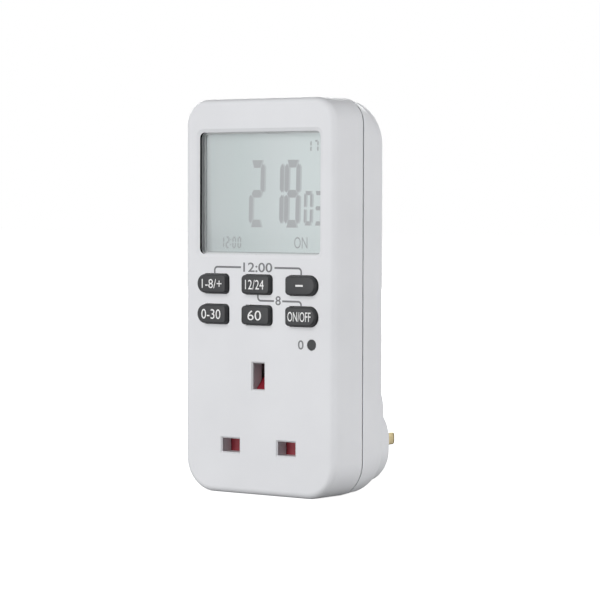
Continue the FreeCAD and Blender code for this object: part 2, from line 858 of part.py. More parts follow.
def pin_sleeve(label, x):
    # The insulating sleeve round the root of a live or neutral pin.
    body = new_body(label, x, plug_face, zero)
    ring = new_sketch(body, "sleeve_outline", -s.plug_wall)
    half = s.pin_width / 2
    rise = s.pin_thickness / 2
    wall = s.sleeve_wall
    add_rectangle(ring, -half, half, -rise, rise)
    add_rectangle(ring, wall - half, half - wall, wall - rise, rise - wall)
    pad(body, "sleeve", ring, s.sleeve_length + s.plug_wall)


def socket_contact(label, x, z, plane):
    # A folded spring contact: a flat base and two leaves that grip a pin.
    body = new_body(label, x, carrier_depth, z)
    sheet_thickness = s.contact_sheet
    grip = s.pin_thickness / 2 - s.contact_grip
    root = s.pin_thickness / 2 + s.contact_grip
    waist = contact_length - 2 * s.contact_mouth
    mouth = grip + s.contact_mouth
    upper = [
        (zero, root + sheet_thickness),
        (-waist, grip + sheet_thickness),
        (-contact_length, mouth + sheet_thickness),
        (-contact_length, mouth),
        (-waist, grip),
        (-sheet_thickness, root),
    ]
    lower = [(depth, -across) for depth, across in reversed(upper)]
    if plane == "XY_Plane":
        upper = [(across, depth) for depth, across in upper]
        lower = [(across, depth) for depth, across in lower]
    profile = new_sketch(body, "contact_profile", zero, plane)
    add_polygon(profile, upper + lower)
    pad_across(body, "contact", profile, s.contact_width)


def contact_carrier():
    # The insulating plate behind the contacts, with a barrier each side of the earth.
    body = new_body("contact_carrier")
    plate = new_sketch(body, "plate_outline", carrier_depth)
    foot = s.carrier_foot_half_width
    upper = s.carrier_half_width
    step = -s.carrier_step
    add_polygon(plate, [
        (-foot, -s.carrier_bottom),
        (foot, -s.carrier_bottom),
        (foot, step),
        (upper, step),
        (upper, s.carrier_top),
        (-upper, s.carrier_top),
        (-upper, step),
        (-foot, step),
    ])
    pad(body, "plate", plate, s.carrier_wall)
    barriers = new_sketch(body, "barrier_outlines", carrier_depth)
    inner = s.barrier_spacing / 2 - s.barrier_wall / 2
    outer = inner + s.barrier_wall
    low = s.barrier_inset - s.carrier_bottom
    high = s.carrier_top - s.barrier_inset
    for left, right in ((-outer, -inner), (inner, outer)):
        add_rectangle(barriers, left, right, low, high)
    pad(body, "barriers", barriers, carrier_depth - guide_back, forward=True)
    holes = new_sketch(body, "tail_holes", carrier_depth)
    half = s.pin_tail_width / 2 + s.fit_gap
    rise = s.pin_tail_height / 2 + s.fit_gap
    for x, z in ((-pin_x, zero), (zero, s.earth_rise)):
        add_rectangle(holes, x - half, x + half, z - rise, z + rise)
    pocket(body, "tail_hole", holes, s.carrier_wall)


def live_feed_strap():
    # Runs behind the carrier from the live pin up to the power board.
    body = new_body("live_feed_strap", pin_x, carrier_back, zero)
    strip = new_sketch(body, "strap_outline")
    half = s.strap_width / 2
    add_rectangle(strip, -half, half, -s.strap_end, s.power_board_bottom + s.strap_foot)
    pad(body, "strap", strip, s.contact_sheet)


def contact_strap(label, x):
    # Runs from the top of a contact base up to its foot on the power board.
    body = new_body(label, x, carrier_depth, zero)
    strip_low = s.pin_thickness / 2 + s.contact_grip + s.contact_sheet
    strip_high = s.power_board_bottom + 2 * s.strap_foot
    reach = power_board_front - carrier_depth
    profile = new_sketch(body, "strap_profile", zero, "YZ_Plane")
    add_polygon(profile, [
        (-s.contact_sheet, strip_low),
        (zero, strip_low),
        (zero, strip_high - s.contact_sheet),
        (reach, strip_high - s.contact_sheet),
        (reach, strip_high),
        (-s.contact_sheet, strip_high),
    ])
    pad_across(body, "strap", profile, s.strap_width)


def tray_outline(half, low, high, cut):
    # The tray seen from the front, with its lower corners cut off.
    return [
        (cut - half, low),
        (half - cut, low),
        (half, low + cut),
        (half, high),
        (-half, high),
        (-half, low + cut),
    ]


def spigot(body, z):
    # A short peg that the spring fits over.
    outline = new_sketch(body, "spigot_outline", z, "XY_Plane")
    half = s.spigot_width / 2
    add_rectangle(outline, -half, half, spring_depth - half, spring_depth + half)
    feature = body.newObject("PartDesign::Pad", "spigot")
    feature.Profile = outline
    set_size(feature, "Length", s.spigot_length)
    settle(feature)


def shutter_guide():
    # The moulded tray that holds the shutter and its spring behind the face.
    body = new_body("shutter_guide")
    half = s.guide_half_width
    wall = s.guide_wall
    outside = new_sketch(body, "tray_outline", s.face_wall)
    add_polygon(outside, tray_outline(half, -s.guide_bottom, s.guide_top, s.guide_corner))
    pad(body, "tray", outside, guide_back - s.face_wall)
    floor = s.guide_floor - s.guide_bottom
    inside = new_sketch(body, "tray_hollow", s.face_wall)
    add_polygon(inside, tray_outline(half - wall, floor, s.guide_top - wall, s.guide_corner - wall))
    pocket(body, "tray_cavity", inside, guide_front - s.face_wall)
    holes = new_sketch(body, "guide_holes", guide_front)
    half = s.slot_width / 2 + s.slot_margin
    rise = s.slot_height / 2 + s.slot_margin
    for x in (-pin_x, pin_x):
        add_rectangle(holes, x - half, x + half, -rise, rise)
    half = s.earth_slot_width / 2 + s.slot_margin
    low = wedge_low - s.shutter_travel - s.shutter_gap
    add_rectangle(holes, -half, half, low, earth_slot_high + s.slot_margin)
    pocket(body, "guide_hole", holes, wall)
    spigot(body, floor)


def shutter():
    # Two wings close the live and neutral openings; a ramp in the earth opening
    # is pushed down by the earth pin and takes the wings with it.
    body = new_body("shutter")
    wing = pin_x + s.slot_width / 2 + s.shutter_side_lap
    rise = shutter_half_height
    stem = s.stem_width / 2
    stem_top = wedge_low + s.slot_margin
    plate = new_sketch(body, "wing_outline", shutter_front)
    add_polygon(plate, [
        (-wing, -rise),
        (wing, -rise),
        (wing, rise),
        (stem, rise),
        (stem, stem_top),
        (-stem, stem_top),
        (-stem, rise),
        (-wing, rise),
    ])
    pad(body, "wings", plate, s.shutter_thickness)
    ramp_back = s.ramp_front + s.ramp_height + s.ramp_back
    profile = new_sketch(body, "ramp_profile", zero, "YZ_Plane")
    add_polygon(profile, [
        (s.ramp_front, ramp_start - s.ramp_lip),
        (shutter_front, wedge_low),
        (ramp_back, wedge_low),
        (ramp_back, ramp_start + s.ramp_height),
        (s.ramp_front + s.ramp_height, ramp_start + s.ramp_height),
        (s.ramp_front, ramp_start),
    ])
    pad_across(body, "ramp", profile, s.stem_width)
    spigot(body, -rise - s.spigot_length)


def shutter_spring():
    # The return spring stands on the tray floor below the shutter.
    radius = (s.spring_diameter - s.spring_wire) / 2
    foot = -s.guide_bottom + s.guide_floor
    length = -shutter_half_height - foot
    rise = length - s.spring_wire
    helix = doc.addObject("Part::Helix", "spring_path")
    set_size(helix, "Pitch", rise / s.spring_turns)
    set_size(helix, "Height", rise)
    set_size(helix, "Radius", radius)
    # The wire is drawn with a few flats instead of a round to keep its facets few
    wire = doc.addObject("Part::RegularPolygon", "spring_section")
    wire.Polygon = WIRE_FLATS
    set_size(wire, "Circumradius", s.spring_wire / 2)
    wire.Placement = FreeCAD.Placement(Vector(radius.number, 0, 0), FreeCAD.Rotation(Vector(1, 0, 0), 90))
    set_size(wire, "Placement.Base.x", radius)
    coil = doc.addObject("Part::Sweep", "shutter_spring")
    coil.Sections = [wire]
    coil.Spine = (helix, [])
    coil.Solid = True
    coil.Frenet = True
    coil.Label = "shutter_spring"
    set_place(coil, zero, spring_depth, foot + s.spring_wire / 2)
    parts.append(coil)


def display_window():
    body = new_body("display_window", zero, zero, display_centre_z)
    half = display_width / 2 - s.fit_gap
    rise = display_height / 2 - s.fit_gap
    raised = new_sketch(body, "raised_outline", s.display_bevel)
    add_rectangle(raised, -half, half, -rise, rise, s.display_corner)
    pad(body, "raised", raised, s.face_wall - s.display_bevel)
    flange = new_sketch(body, "flange_outline", s.face_wall)
    half = half + s.window_flange
    rise = rise + s.window_flange
    add_rectangle(flange, -half, half, -rise, rise)
    pad(body, "flange", flange, window_back - s.face_wall)


def display_frame():
    # Holds the glass against the window and stands on the control board.
    body = new_body("display_frame", zero, zero, display_centre_z)
    half = display_width / 2 + s.panel_margin + s.fit_gap + s.frame_wall
    rise = display_height / 2 + s.panel_margin + s.fit_gap + s.frame_wall
    outline = new_sketch(body, "frame_outline", window_back)
    add_rectangle(outline, -half, half, -rise, rise)
    pad(body, "frame", outline, s.board_depth - window_back)
    view = new_sketch(body, "view_outline", window_back)
    half = display_width / 2 - s.frame_reveal
    rise = display_height / 2 - s.frame_reveal
    add_rectangle(view, -half, half, -rise, rise)
    pocket(body, "view", view, s.frame_lip)
    nest = new_sketch(body, "nest_outline", panel_front)
    half = display_width / 2 + s.panel_margin + s.fit_gap
    rise = display_height / 2 + s.panel_margin + s.fit_gap
    add_rectangle(nest, -half, half, -rise, rise)
    pocket(body, "nest", nest, s.board_depth - panel_front)


def display_panel():
    # Two glass plates; the front one has a ledge for the contact strip.
    body = new_body("display_panel", zero, panel_front, display_centre_z)
    half = display_width / 2 + s.panel_margin
    rise = display_height / 2 + s.panel_margin
    front = new_sketch(body, "front_glass_outline")
    add_rectangle(front, -half, half, -rise, rise)
    pad(body, "front_glass", front, s.glass_thickness)
    back = new_sketch(body, "back_glass_outline", s.glass_thickness)
    add_rectangle(back, -half, half, s.glass_ledge - rise, rise)
    pad(body, "back_glass", back, s.glass_thickness)


def display_pad():
    # The pale backing that lights the glass from behind and fills up to the board.
    body = new_body("display_pad", zero, panel_back, display_centre_z)
    half = display_width / 2
    rise = display_height / 2
    outline = new_sketch(body, "pad_outline")
    add_rectangle(outline, -half, half, s.glass_ledge - rise, rise)
    pad(body, "pad", outline, s.board_depth - panel_back)


def contact_strip():
    body = new_body("contact_strip", zero, panel_front + s.glass_thickness, display_centre_z)
    half = display_width / 2
    low = -display_height / 2 - s.panel_margin + (s.glass_ledge - s.contact_strip_width) / 2
    outline = new_sketch(body, "strip_outline")
    add_rectangle(outline, -half, half, low, low + s.contact_strip_width)
    pad(body, "strip", outline, s.board_depth - panel_front - s.glass_thickness)


def key_back(body, half, rise):
    # The flange behind the face and the stem that reaches into the mat.
    flange = new_sketch(body, "flange_outline", key_flange_front)
    add_rectangle(flange, -half, half, -rise, rise)
    pad(body, "flange", flange, s.key_flange_thickness)
    stem = new_sketch(body, "stem_outline", key_flange_back)
    half = s.key_stem_width / 2
    add_rectangle(stem, -half, half, -half, half)
    pad(body, "stem", stem, s.key_stem_end - key_flange_back)


def key(label, x, z, width, round_side):
    body = new_body(label, x, zero, z)
    cap = new_sketch(body, "cap_outline", key_flange_front)
    add_outline(cap, key_outline(width, round_side, zero))
    pad(body, "cap", cap, key_flange_front + s.key_rise, forward=True)
    key_back(body, width / 2 + s.key_flange, s.key_height / 2 + s.key_flange)


def reset_key():
    body = new_body("reset_key", reset_x, zero, s.reset_z)
    cap = new_sketch(body, "cap_outline")
    add_circle(cap, 0, 0, s.reset_diameter / 2)
    pad(body, "cap", cap, key_flange_front)
    half = s.reset_diameter / 2 + s.reset_flange
    key_back(body, half, half)


def keypad_mat():
    # A soft mat on the board with a hollow cup round each key stem.
    body = new_body("keypad_mat")
    mat_front = s.board_depth - s.mat_thickness
    sheet_outline = new_sketch(body, "mat_outline", mat_front)
    half = side_inside - s.mat_side_gap
    add_rectangle(sheet_outline, -half, half, s.mat_bottom, s.mat_top)
    pad(body, "mat", sheet_outline, s.mat_thickness)
    cups = new_sketch(body, "cup_outlines", mat_front)
    bores = new_sketch(body, "cup_bores", mat_front - s.cup_height)
    bore = s.cup_bore / 2
    for x, z in KEY_PLACES:
        half = s.reset_cup_width / 2 if x == reset_x else s.cup_width / 2
        add_rectangle(cups, x - half, x + half, z - half, z + half)
        add_rectangle(bores, x - bore, x + bore, z - bore, z + bore)
    pad(body, "cups", cups, s.cup_height, forward=True)
    pocket(body, "cup_bore", bores, s.cup_height + s.mat_thickness)


def control_board():
    # The board's upper corners are stepped back round the case screw posts.
    body = new_body("control_board")
    half = board_half_width
    step_x = screw_x - s.post_width / 2 - 2 * s.fit_gap
    step_z = screw_z - s.post_width / 2 - s.fit_gap
    outline = new_sketch(body, "board_outline", s.board_depth)
    add_polygon(outline, [
        (-half, s.board_bottom),
        (half, s.board_bottom),
        (half, step_z),
        (step_x, step_z),
        (step_x, board_top),
        (-step_x, board_top),
        (-step_x, step_z),
        (-half, step_z),
    ])
    pad(body, "board", outline, s.board_thickness)


def power_board():
    body = new_body("power_board")
    outline = new_sketch(body, "board_outline", power_board_front)
    add_rectangle(outline, -power_half_width, power_half_width, s.power_board_bottom, power_board_top)
    pad(body, "board", outline, s.board_thickness)


def on_power_board(share_x, share_z):
    # A place on the power board, by a share of its half width and of its height.
    height = power_board_top - s.power_board_bottom
    return share_x * power_half_width, s.power_board_bottom + share_z * height


def on_control_board(share_x, share_z):
    height = board_top - s.board_bottom
    return share_x * board_half_width, s.board_bottom + share_z * height


def boxed_component(label, share_x, share_z, width, length, height):
    # A moulded component that stands on the front of the power board.
    x, z = on_power_board(share_x, share_z)
    body = new_body(label, x, power_board_front, z)
    outline = new_sketch(body, "base_outline")
    add_rectangle(outline, -width / 2, width / 2, -length / 2, length / 2)
    block = pad(body, "block", outline, height, forward=True)
    chamfer_edges(body, "top_edge", block, edges_at(block, -height), s.component_edge)


def bar(name, x, depth, z, width, length, height):
    # A square-edged bar whose low, front and left corner is given.
    solid = doc.addObject("Part::Box", name)
    set_size(solid, "Length", width)
    set_size(solid, "Width", length)
    set_size(solid, "Height", height)
    set_place(solid, x, depth, z)
    return solid


def leg(name, x, depth, z, length):
    # A square lead that runs back into the power board.
    half = s.lead_width / 2
    return bar(name, x - half, depth, z - half, s.lead_width, length, s.lead_width)


def joined(label, pieces):
    # One sub-part made of several overlapping pieces.
    whole = doc.addObject("Part::MultiFuse", label)
    whole.Label = label
    whole.Shapes = pieces
    parts.append(whole)


def dropper_resistor():
    # A ceramic block on two legs, with a straight wire through it.
    half = s.resistor_thickness / 2
    lead = s.lead_width / 2
    x, z = on_power_board(s.resistor_share_x, s.resistor_share_z)
    depth = power_board_front - s.resistor_stand - half
    left = x - s.resistor_length / 2
    reach = s.resistor_length / 2 + s.resistor_stand
    leg_length = power_board_front - depth + lead
    square = s.resistor_thickness
    joined("dropper_resistor", [
        bar("resistor_block", left, depth - half, z - half, s.resistor_length, square, square),
        bar("resistor_wire", x - reach, depth - lead, z - lead, 2 * reach, s.lead_width, s.lead_width),
        leg("resistor_left_leg", x - reach + lead, depth - lead, z, leg_length),
        leg("resistor_right_leg", x + reach - lead, depth - lead, z, leg_length),
    ])


def varistor():
    # Its disc grows with the room between the two boards.
    radius = (board_room - s.tall_clearance - s.varistor_stand) / 2
    x, z = on_power_board(s.varistor_share_x, s.varistor_share_z)
    depth = power_board_front - s.varistor_stand - radius
    disc = doc.addObject("Part::Cylinder", "varistor_disc")
    set_size(disc, "Radius", radius)
    set_size(disc, "Height", s.varistor_thickness)
    set_place(disc, x, depth, z - s.varistor_thickness / 2)
    joined("varistor", [
        disc,
        leg("varistor_left_leg", x - radius / 2, depth, z, power_board_front - depth),
        leg("varistor_right_leg", x + radius / 2, depth, z, power_board_front - depth),
    ])


def smoothing_capacitor():
    x, z = on_power_board(s.smoothing_share_x, s.smoothing_share_z)
    body = new_body("smoothing_capacitor", x, power_board_front, z)
    outline = new_sketch(body, "can_outline")
    add_circle(outline, 0, 0, s.smoothing_diameter / 2)
    pad(body, "can", outline, board_room - s.tall_clearance, forward=True)


def backup_battery():
    x, z = on_power_board(s.battery_share_x, s.battery_share_z)
    body = new_body("backup_battery", x, power_board_front, z)
    outline = new_sketch(body, "cell_outline")
    add_circle(outline, 0, 0, s.battery_diameter / 2)
    pad(body, "cell", outline, s.battery_height, forward=True)


def board_link_header():
    # Carries the low voltage lines from the power board up to the control board.
    x, z = on_power_board(s.header_share_x, s.header_share_z)
    body = new_body("board_link_header", x, power_board_front, z)
    socket = new_sketch(body, "socket_outline")
    half = s.header_width / 2
    rise = s.header_thickness / 2
    add_rectangle(socket, -half, half, -rise, rise)
    pad(body, "socket", socket, s.header_socket_height, forward=True)
    plug = new_sketch(body, "plug_outline", -s.header_socket_height)
    half = s.header_plug_width / 2
    rise = s.header_plug_thickness / 2
    add_rectangle(plug, -half, half, -rise, rise)
    pad(body, "plug", plug, board_room - s.header_socket_height, forward=True)


def clock_chip():
    x, z = on_control_board(s.chip_share_x, s.chip_share_z)
    body = new_body("clock_chip", x, board_back, z)
    outline = new_sketch(body, "chip_outline")
    half = s.chip_width / 2
    add_rectangle(outline, -half, half, -half, half)
    block = pad(body, "chip", outline, s.chip_height)
    chamfer_edges(body, "chip_edge", block, edges_at(block, s.chip_height), s.component_edge)


def crystal():
    # A small flat can on the control board.
    x, z = on_control_board(s.crystal_share_x, s.crystal_share_z)
    body = new_body("crystal", x, board_back, z)
    outline = new_sketch(body, "can_outline")
    half = s.crystal_width / 2
    rise = s.crystal_length / 2
    add_rectangle(outline, -half, half, -rise, rise)
    pad(body, "can", outline, s.crystal_height)


front_cover()
rear_cover()
plug_pin("earth_pin", PIN_OUTLINES[2], s.earth_pin_length, zero, carrier_depth)
plug_pin("live_pin", PIN_OUTLINES[1], s.pin_length, s.sleeve_wall, power_board_front)
plug_pin("neutral_pin", PIN_OUTLINES[0], s.pin_length, s.sleeve_wall, carrier_depth)
pin_sleeve("live_pin_sleeve", pin_x)
pin_sleeve("neutral_pin_sleeve", -pin_x)
socket_contact("earth_contact", zero, s.earth_rise, "XY_Plane")
socket_contact("live_contact", pin_x, zero, "YZ_Plane")
socket_contact("neutral_contact", -pin_x, zero, "YZ_Plane")
contact_carrier()
live_feed_strap()
contact_strap("load_strap", pin_x)
contact_strap("neutral_strap", -pin_x)
shutter_guide()
shutter()
shutter_spring()
display_window()
display_frame()
display_panel()
display_pad()
contact_strip()
for label, x, z, width, round_side in KEYS:
    key(label, x, z, width, round_side)
reset_key()
keypad_mat()
control_board()
clock_chip()
crystal()
power_board()
tall_room = board_room - s.tall_clearance
relay_height = board_room - s.relay_clearance
boxed_component("relay", s.relay_share_x, s.relay_share_z, s.relay_width, s.relay_length, relay_height)
boxed_component(
    "mains_capacitor",
    s.mains_capacitor_share_x,
    s.mains_capacitor_share_z,
    s.mains_capacitor_width,
    s.mains_capacitor_length,
    tall_room,
)
boxed_component(
    "rectifier",
    s.rectifier_share_x,
    s.rectifier_share_z,
    s.rectifier_width,
    s.rectifier_length,
    s.rectifier_height,
)
dropper_resistor()
varistor()
smoothing_capacitor()
backup_battery()
board_link_header()

doc.recompute()
os.makedirs("parts", exist_ok=True)
for item in doc.Objects:
    if "Invalid" in item.State or "Error" in item.State:
        raise RuntimeError(f"{item.Label} did not build: {item.State}")
for part in parts:
    if part.Shape.isNull() or not part.Shape.isValid():
        raise RuntimeError(f"{part.Label} has no valid shape")
for part in parts:
    part.Shape.exportStep(f"parts/{part.Label}.step")
    print(part.Label, round(part.Shape.Volume), len(part.Shape.Solids))
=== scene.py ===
import math
import bpy
from mathutils import Matrix, Vector


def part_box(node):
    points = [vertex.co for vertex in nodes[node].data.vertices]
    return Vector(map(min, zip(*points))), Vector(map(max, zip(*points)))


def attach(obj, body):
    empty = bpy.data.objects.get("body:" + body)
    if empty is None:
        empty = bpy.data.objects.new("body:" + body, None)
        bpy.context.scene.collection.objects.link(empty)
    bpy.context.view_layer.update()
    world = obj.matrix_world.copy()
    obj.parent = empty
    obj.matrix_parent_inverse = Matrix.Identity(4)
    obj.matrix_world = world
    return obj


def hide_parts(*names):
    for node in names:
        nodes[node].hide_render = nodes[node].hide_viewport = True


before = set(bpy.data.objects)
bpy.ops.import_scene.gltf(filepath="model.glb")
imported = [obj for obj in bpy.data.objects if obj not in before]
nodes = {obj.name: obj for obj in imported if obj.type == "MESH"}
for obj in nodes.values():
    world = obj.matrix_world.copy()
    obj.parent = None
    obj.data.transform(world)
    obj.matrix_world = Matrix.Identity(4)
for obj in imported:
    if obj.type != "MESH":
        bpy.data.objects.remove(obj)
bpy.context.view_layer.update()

mm = 0.001
print("frame loaded:", len(nodes), "nodes")

# Places taken from the frame, in metres
frontLow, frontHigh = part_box("front_cover")
faceY = frontLow.y
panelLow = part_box("display_panel")[0]
windowLow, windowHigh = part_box("display_window")
caseTop = frontHigh.z
caseBottom = frontLow.z


def colour(red, green, blue):
    # screen values 0..255 to the linear colour that a shader wants
    def linear(value):
        value = value / 255
        return value / 12.92 if value <= 0.04045 else ((value + 0.055) / 1.055) ** 2.4
    return (linear(red), linear(green), linear(blue), 1.0)


def newMaterial(name):
    material = bpy.data.materials.new(name)
    material.use_nodes = True
    tree = material.node_tree
    shader = tree.nodes["Principled BSDF"]
    return material, tree, shader


def addNode(tree, kind, **values):
    node = tree.nodes.new(kind)
    for key, value in values.items():
        setattr(node, key, value)
    return node


def objectNoise(tree, scale, detail=3.0, stretch=(1, 1, 1)):
    # noise in the object's own metres, stretched along an axis if asked
    place = addNode(tree, "ShaderNodeTexCoord")
    mapping = addNode(tree, "ShaderNodeMapping")
    mapping.inputs["Scale"].default_value = stretch
    noise = addNode(tree, "ShaderNodeTexNoise")
    noise.inputs["Scale"].default_value = scale
    noise.inputs["Detail"].default_value = detail
    tree.links.new(place.outputs["Object"], mapping.inputs["Vector"])
    tree.links.new(mapping.outputs["Vector"], noise.inputs["Vector"])
    return noise.outputs["Fac"]


def tones(tree, factor, dark, light, low=0.35, high=0.65):
    ramp = addNode(tree, "ShaderNodeValToRGB")
    ramp.color_ramp.elements[0].position = low
    ramp.color_ramp.elements[0].color = dark
    ramp.color_ramp.elements[1].position = high
    ramp.color_ramp.elements[1].color = light
    tree.links.new(factor, ramp.inputs["Fac"])
    return ramp.outputs["Color"]


def spread(tree, factor, low, high):
    span = addNode(tree, "ShaderNodeMapRange")
    span.inputs["To Min"].default_value = low
    span.inputs["To Max"].default_value = high
    tree.links.new(factor, span.inputs["Value"])
    return span.outputs["Result"]


def addBump(tree, shader, height, strength, distance):
    bump = addNode(tree, "ShaderNodeBump")
    bump.inputs["Strength"].default_value = strength
    bump.inputs["Distance"].default_value = distance
    tree.links.new(height, bump.inputs["Height"])
    tree.links.new(bump.outputs["Normal"], shader.inputs["Normal"])


def mouldedPlastic(name, look):
    # a moulded plastic: two close tones, fine spark grain, uneven gloss
    material, tree, shader = newMaterial(name)
    drift = objectNoise(tree, look.get("driftScale", 60))
    tree.links.new(tones(tree, drift, look["dark"], look["light"]), shader.inputs["Base Color"])
    grain = objectNoise(tree, look.get("grainScale", 2600), 4.0)
    tree.links.new(spread(tree, grain, *look["rough"]), shader.inputs["Roughness"])
    addBump(tree, shader, grain, look.get("bump", 0.15), look.get("grainDepth", 0.00003))
    shader.inputs["IOR"].default_value = look.get("ior", 1.46)
    shader.inputs["Specular IOR Level"].default_value = look.get("gloss", 0.5)
    return material


def drawnMetal(name, look):
    # metal with fine lines along one axis and a slightly uneven colour
    material, tree, shader = newMaterial(name)
    drift = objectNoise(tree, look.get("driftScale", 240))
    tree.links.new(tones(tree, drift, look["dark"], look["light"]), shader.inputs["Base Color"])
    lines = objectNoise(tree, look.get("lineScale", 900), 3.0, look.get("stretch", (6, 0.4, 6)))
    tree.links.new(spread(tree, lines, *look["rough"]), shader.inputs["Roughness"])
    addBump(tree, shader, lines, look.get("bump", 0.12), look.get("lineDepth", 0.00002))
    shader.inputs["Metallic"].default_value = 1.0
    return material


def circuitBoard(name, look):
    # lacquer over copper tracks that run in steps, with bright pads
    material, tree, shader = newMaterial(name)
    place = addNode(tree, "ShaderNodeTexCoord")
    tracks = addNode(tree, "ShaderNodeTexVoronoi", distance="MANHATTAN", feature="F1")
    tracks.inputs["Scale"].default_value = look["trackScale"]
    tree.links.new(place.outputs["Object"], tracks.inputs["Vector"])
    lacquer = tones(tree, tracks.outputs["Distance"], look["dark"], look["light"], *look["trackEdge"])
    tree.links.new(lacquer, shader.inputs["Base Color"])
    weave = objectNoise(tree, look["weaveScale"], 2.0)
    tree.links.new(spread(tree, weave, *look["rough"]), shader.inputs["Roughness"])
    addBump(tree, shader, tracks.outputs["Distance"], look["bump"], look["trackDepth"])
    return material


def clearSheet(name, look):
    # thin clear plastic or glass: see-through, with a flat gleam, and left and right ends in an opaque grey of
    # painted shade, for the dark seen through the clear edges
    material, tree, shader = newMaterial(name)
    output = tree.nodes["Material Output"]
    # the sides colour is painted shade on the left and right ends
    shader.inputs["Base Color"].default_value = look["sides"]
    shader.inputs["Roughness"].default_value = 0.5
    form = addNode(tree, "ShaderNodeNewGeometry")
    through = addNode(tree, "ShaderNodeBsdfTransparent")
    through.inputs["Color"].default_value = look["tint"]
    gleam = addNode(tree, "ShaderNodeBsdfGlossy")
    gleam.inputs["Color"].default_value = (1, 1, 1, 1)
    smear = objectNoise(tree, look["smearScale"], 2.0)
    tree.links.new(spread(tree, smear, *look["rough"]), gleam.inputs["Roughness"])
    edge = addNode(tree, "ShaderNodeFresnel")
    edge.inputs["IOR"].default_value = look["ior"]
    tree.links.new(form.outputs["True Normal"], gleam.inputs["Normal"])
    tree.links.new(form.outputs["True Normal"], edge.inputs["Normal"])
    weaker = addNode(tree, "ShaderNodeMath", operation="MULTIPLY")
    weaker.inputs[1].default_value = look["gleam"]
    mix = addNode(tree, "ShaderNodeMixShader")
    tree.links.new(edge.outputs["Fac"], weaker.inputs[0])
    tree.links.new(weaker.outputs["Value"], mix.inputs["Fac"])
    tree.links.new(through.outputs["BSDF"], mix.inputs[1])
    tree.links.new(gleam.outputs["BSDF"], mix.inputs[2])
    axes = addNode(tree, "ShaderNodeSeparateXYZ")
    tree.links.new(form.outputs["True Normal"], axes.inputs["Vector"])
    sideways = addNode(tree, "ShaderNodeMath", operation="ABSOLUTE")
    tree.links.new(axes.outputs["X"], sideways.inputs[0])
    isShadedEnd = addNode(tree, "ShaderNodeMath", operation="GREATER_THAN")
    isShadedEnd.inputs[1].default_value = 0.5
    tree.links.new(sideways.outputs["Value"], isShadedEnd.inputs[0])
    whole = addNode(tree, "ShaderNodeMixShader")
    tree.links.new(isShadedEnd.outputs["Value"], whole.inputs["Fac"])
    tree.links.new(mix.outputs["Shader"], whole.inputs[1])
    tree.links.new(shader.outputs["BSDF"], whole.inputs[2])
    tree.links.new(whole.outputs["Shader"], output.inputs["Surface"])
    return material


def setMaterial(thing, material):
    if not thing.data.materials:
        thing.data.materials.append(material)
    for slotIndex in range(len(thing.material_slots)):
        thing.material_slots[slotIndex].material = material


# Case
caseLook = {
    "dark": colour(222, 223, 226),
    "light": colour(226, 227, 230),
    "rough": (0.48, 0.6),
    "driftScale": 40,
    "grainScale": 2400,
    "bump": 0.1,
    "gloss": 0.35,
}
caseWhite = mouldedPlastic("caseWhite", caseLook)
for name in ("front_cover", "rear_cover"):
    setMaterial(nodes[name], caseWhite)

# Pins, sleeves and contacts
pinLook = {
    "dark": colour(184, 168, 128),
    "light": colour(196, 182, 146),
    "rough": (0.36, 0.48),
    "stretch": (6, 0.4, 6),
}
pinBrass = drawnMetal("pinBrass", pinLook)
contactLook = dict(
    pinLook, dark=colour(196, 162, 92), light=colour(220, 190, 124), rough=(0.28, 0.44),
)
contactBrass = drawnMetal("contactBrass", contactLook)
sleeveLook = {
    "dark": colour(38, 38, 40),
    "light": colour(48, 48, 51),
    "rough": (0.4, 0.52),
}
sleeveBlack = mouldedPlastic("sleeveBlack", sleeveLook)
steelLook = {
    "dark": colour(150, 150, 152),
    "light": colour(190, 190, 192),
    "rough": (0.24, 0.4),
    "stretch": (3, 3, 3),
}
screwSteel = drawnMetal("screwSteel", steelLook)
springSteel = drawnMetal("springSteel", dict(steelLook, rough=(0.18, 0.3)))

# Shutter and what holds it
shutterLook = {
    "dark": colour(118, 20, 34),
    "light": colour(134, 26, 42),
    "rough": (0.4, 0.55),
    "grainScale": 1800,
}
shutterRed = mouldedPlastic("shutterRed", shutterLook)
innerLook = dict(caseLook, dark=colour(196, 196, 194), light=colour(206, 206, 204))
innerPlastic = mouldedPlastic("innerPlastic", innerLook)
carrierLook = dict(caseLook, dark=colour(176, 170, 152), light=colour(188, 182, 164))
carrierPlastic = mouldedPlastic("carrierPlastic", carrierLook)

# Display
clearWindow = clearSheet("clearWindow", {
    "tint": (0.97, 0.98, 0.98, 1), "smearScale": 300, "rough": (0.03, 0.07), "ior": 1.49, "gleam": 0.5,
    # painted shade on the window's left and right ends
    "sides": colour(184, 185, 186),
})
displayGlass = clearSheet("displayGlass", {
    "tint": (0.98, 0.99, 0.985, 1), "smearScale": 180, "rough": (0.05, 0.1), "ior": 1.5, "gleam": 0.25,
    # painted shade on the glass's left and right ends
    "sides": colour(90, 110, 106),
})
framePale = mouldedPlastic("framePale", {
    "dark": colour(232, 233, 234), "light": colour(238, 239, 240), "rough": (0.45, 0.6),
})
backingLook = {
    "green": colour(198, 204, 204),
    "lavender": colour(204, 205, 207),
    # painted light: the film is made paler towards its right end
    "paintedLight": colour(220, 225, 225),
    "paintedLightFrom": windowLow.x,
    "paintedLightTo": windowHigh.x,
    "paintedLightMost": 0.8,
    # painted shade at the film's left end, under the recess's left wall
    "paintedShade": colour(171, 173, 174),
    "paintedShadeLean": 0.035,
    "bandScale": 42,
    "grainScale": 5200,
    "grainDepth": 0.00002,
    "rough": (0.55, 0.7),
    "bump": 0.08,
    "paintedShadeFrom": windowLow.x + 4.4 * mm,
    "paintedShadeTo": windowLow.x + 7.4 * mm,
}


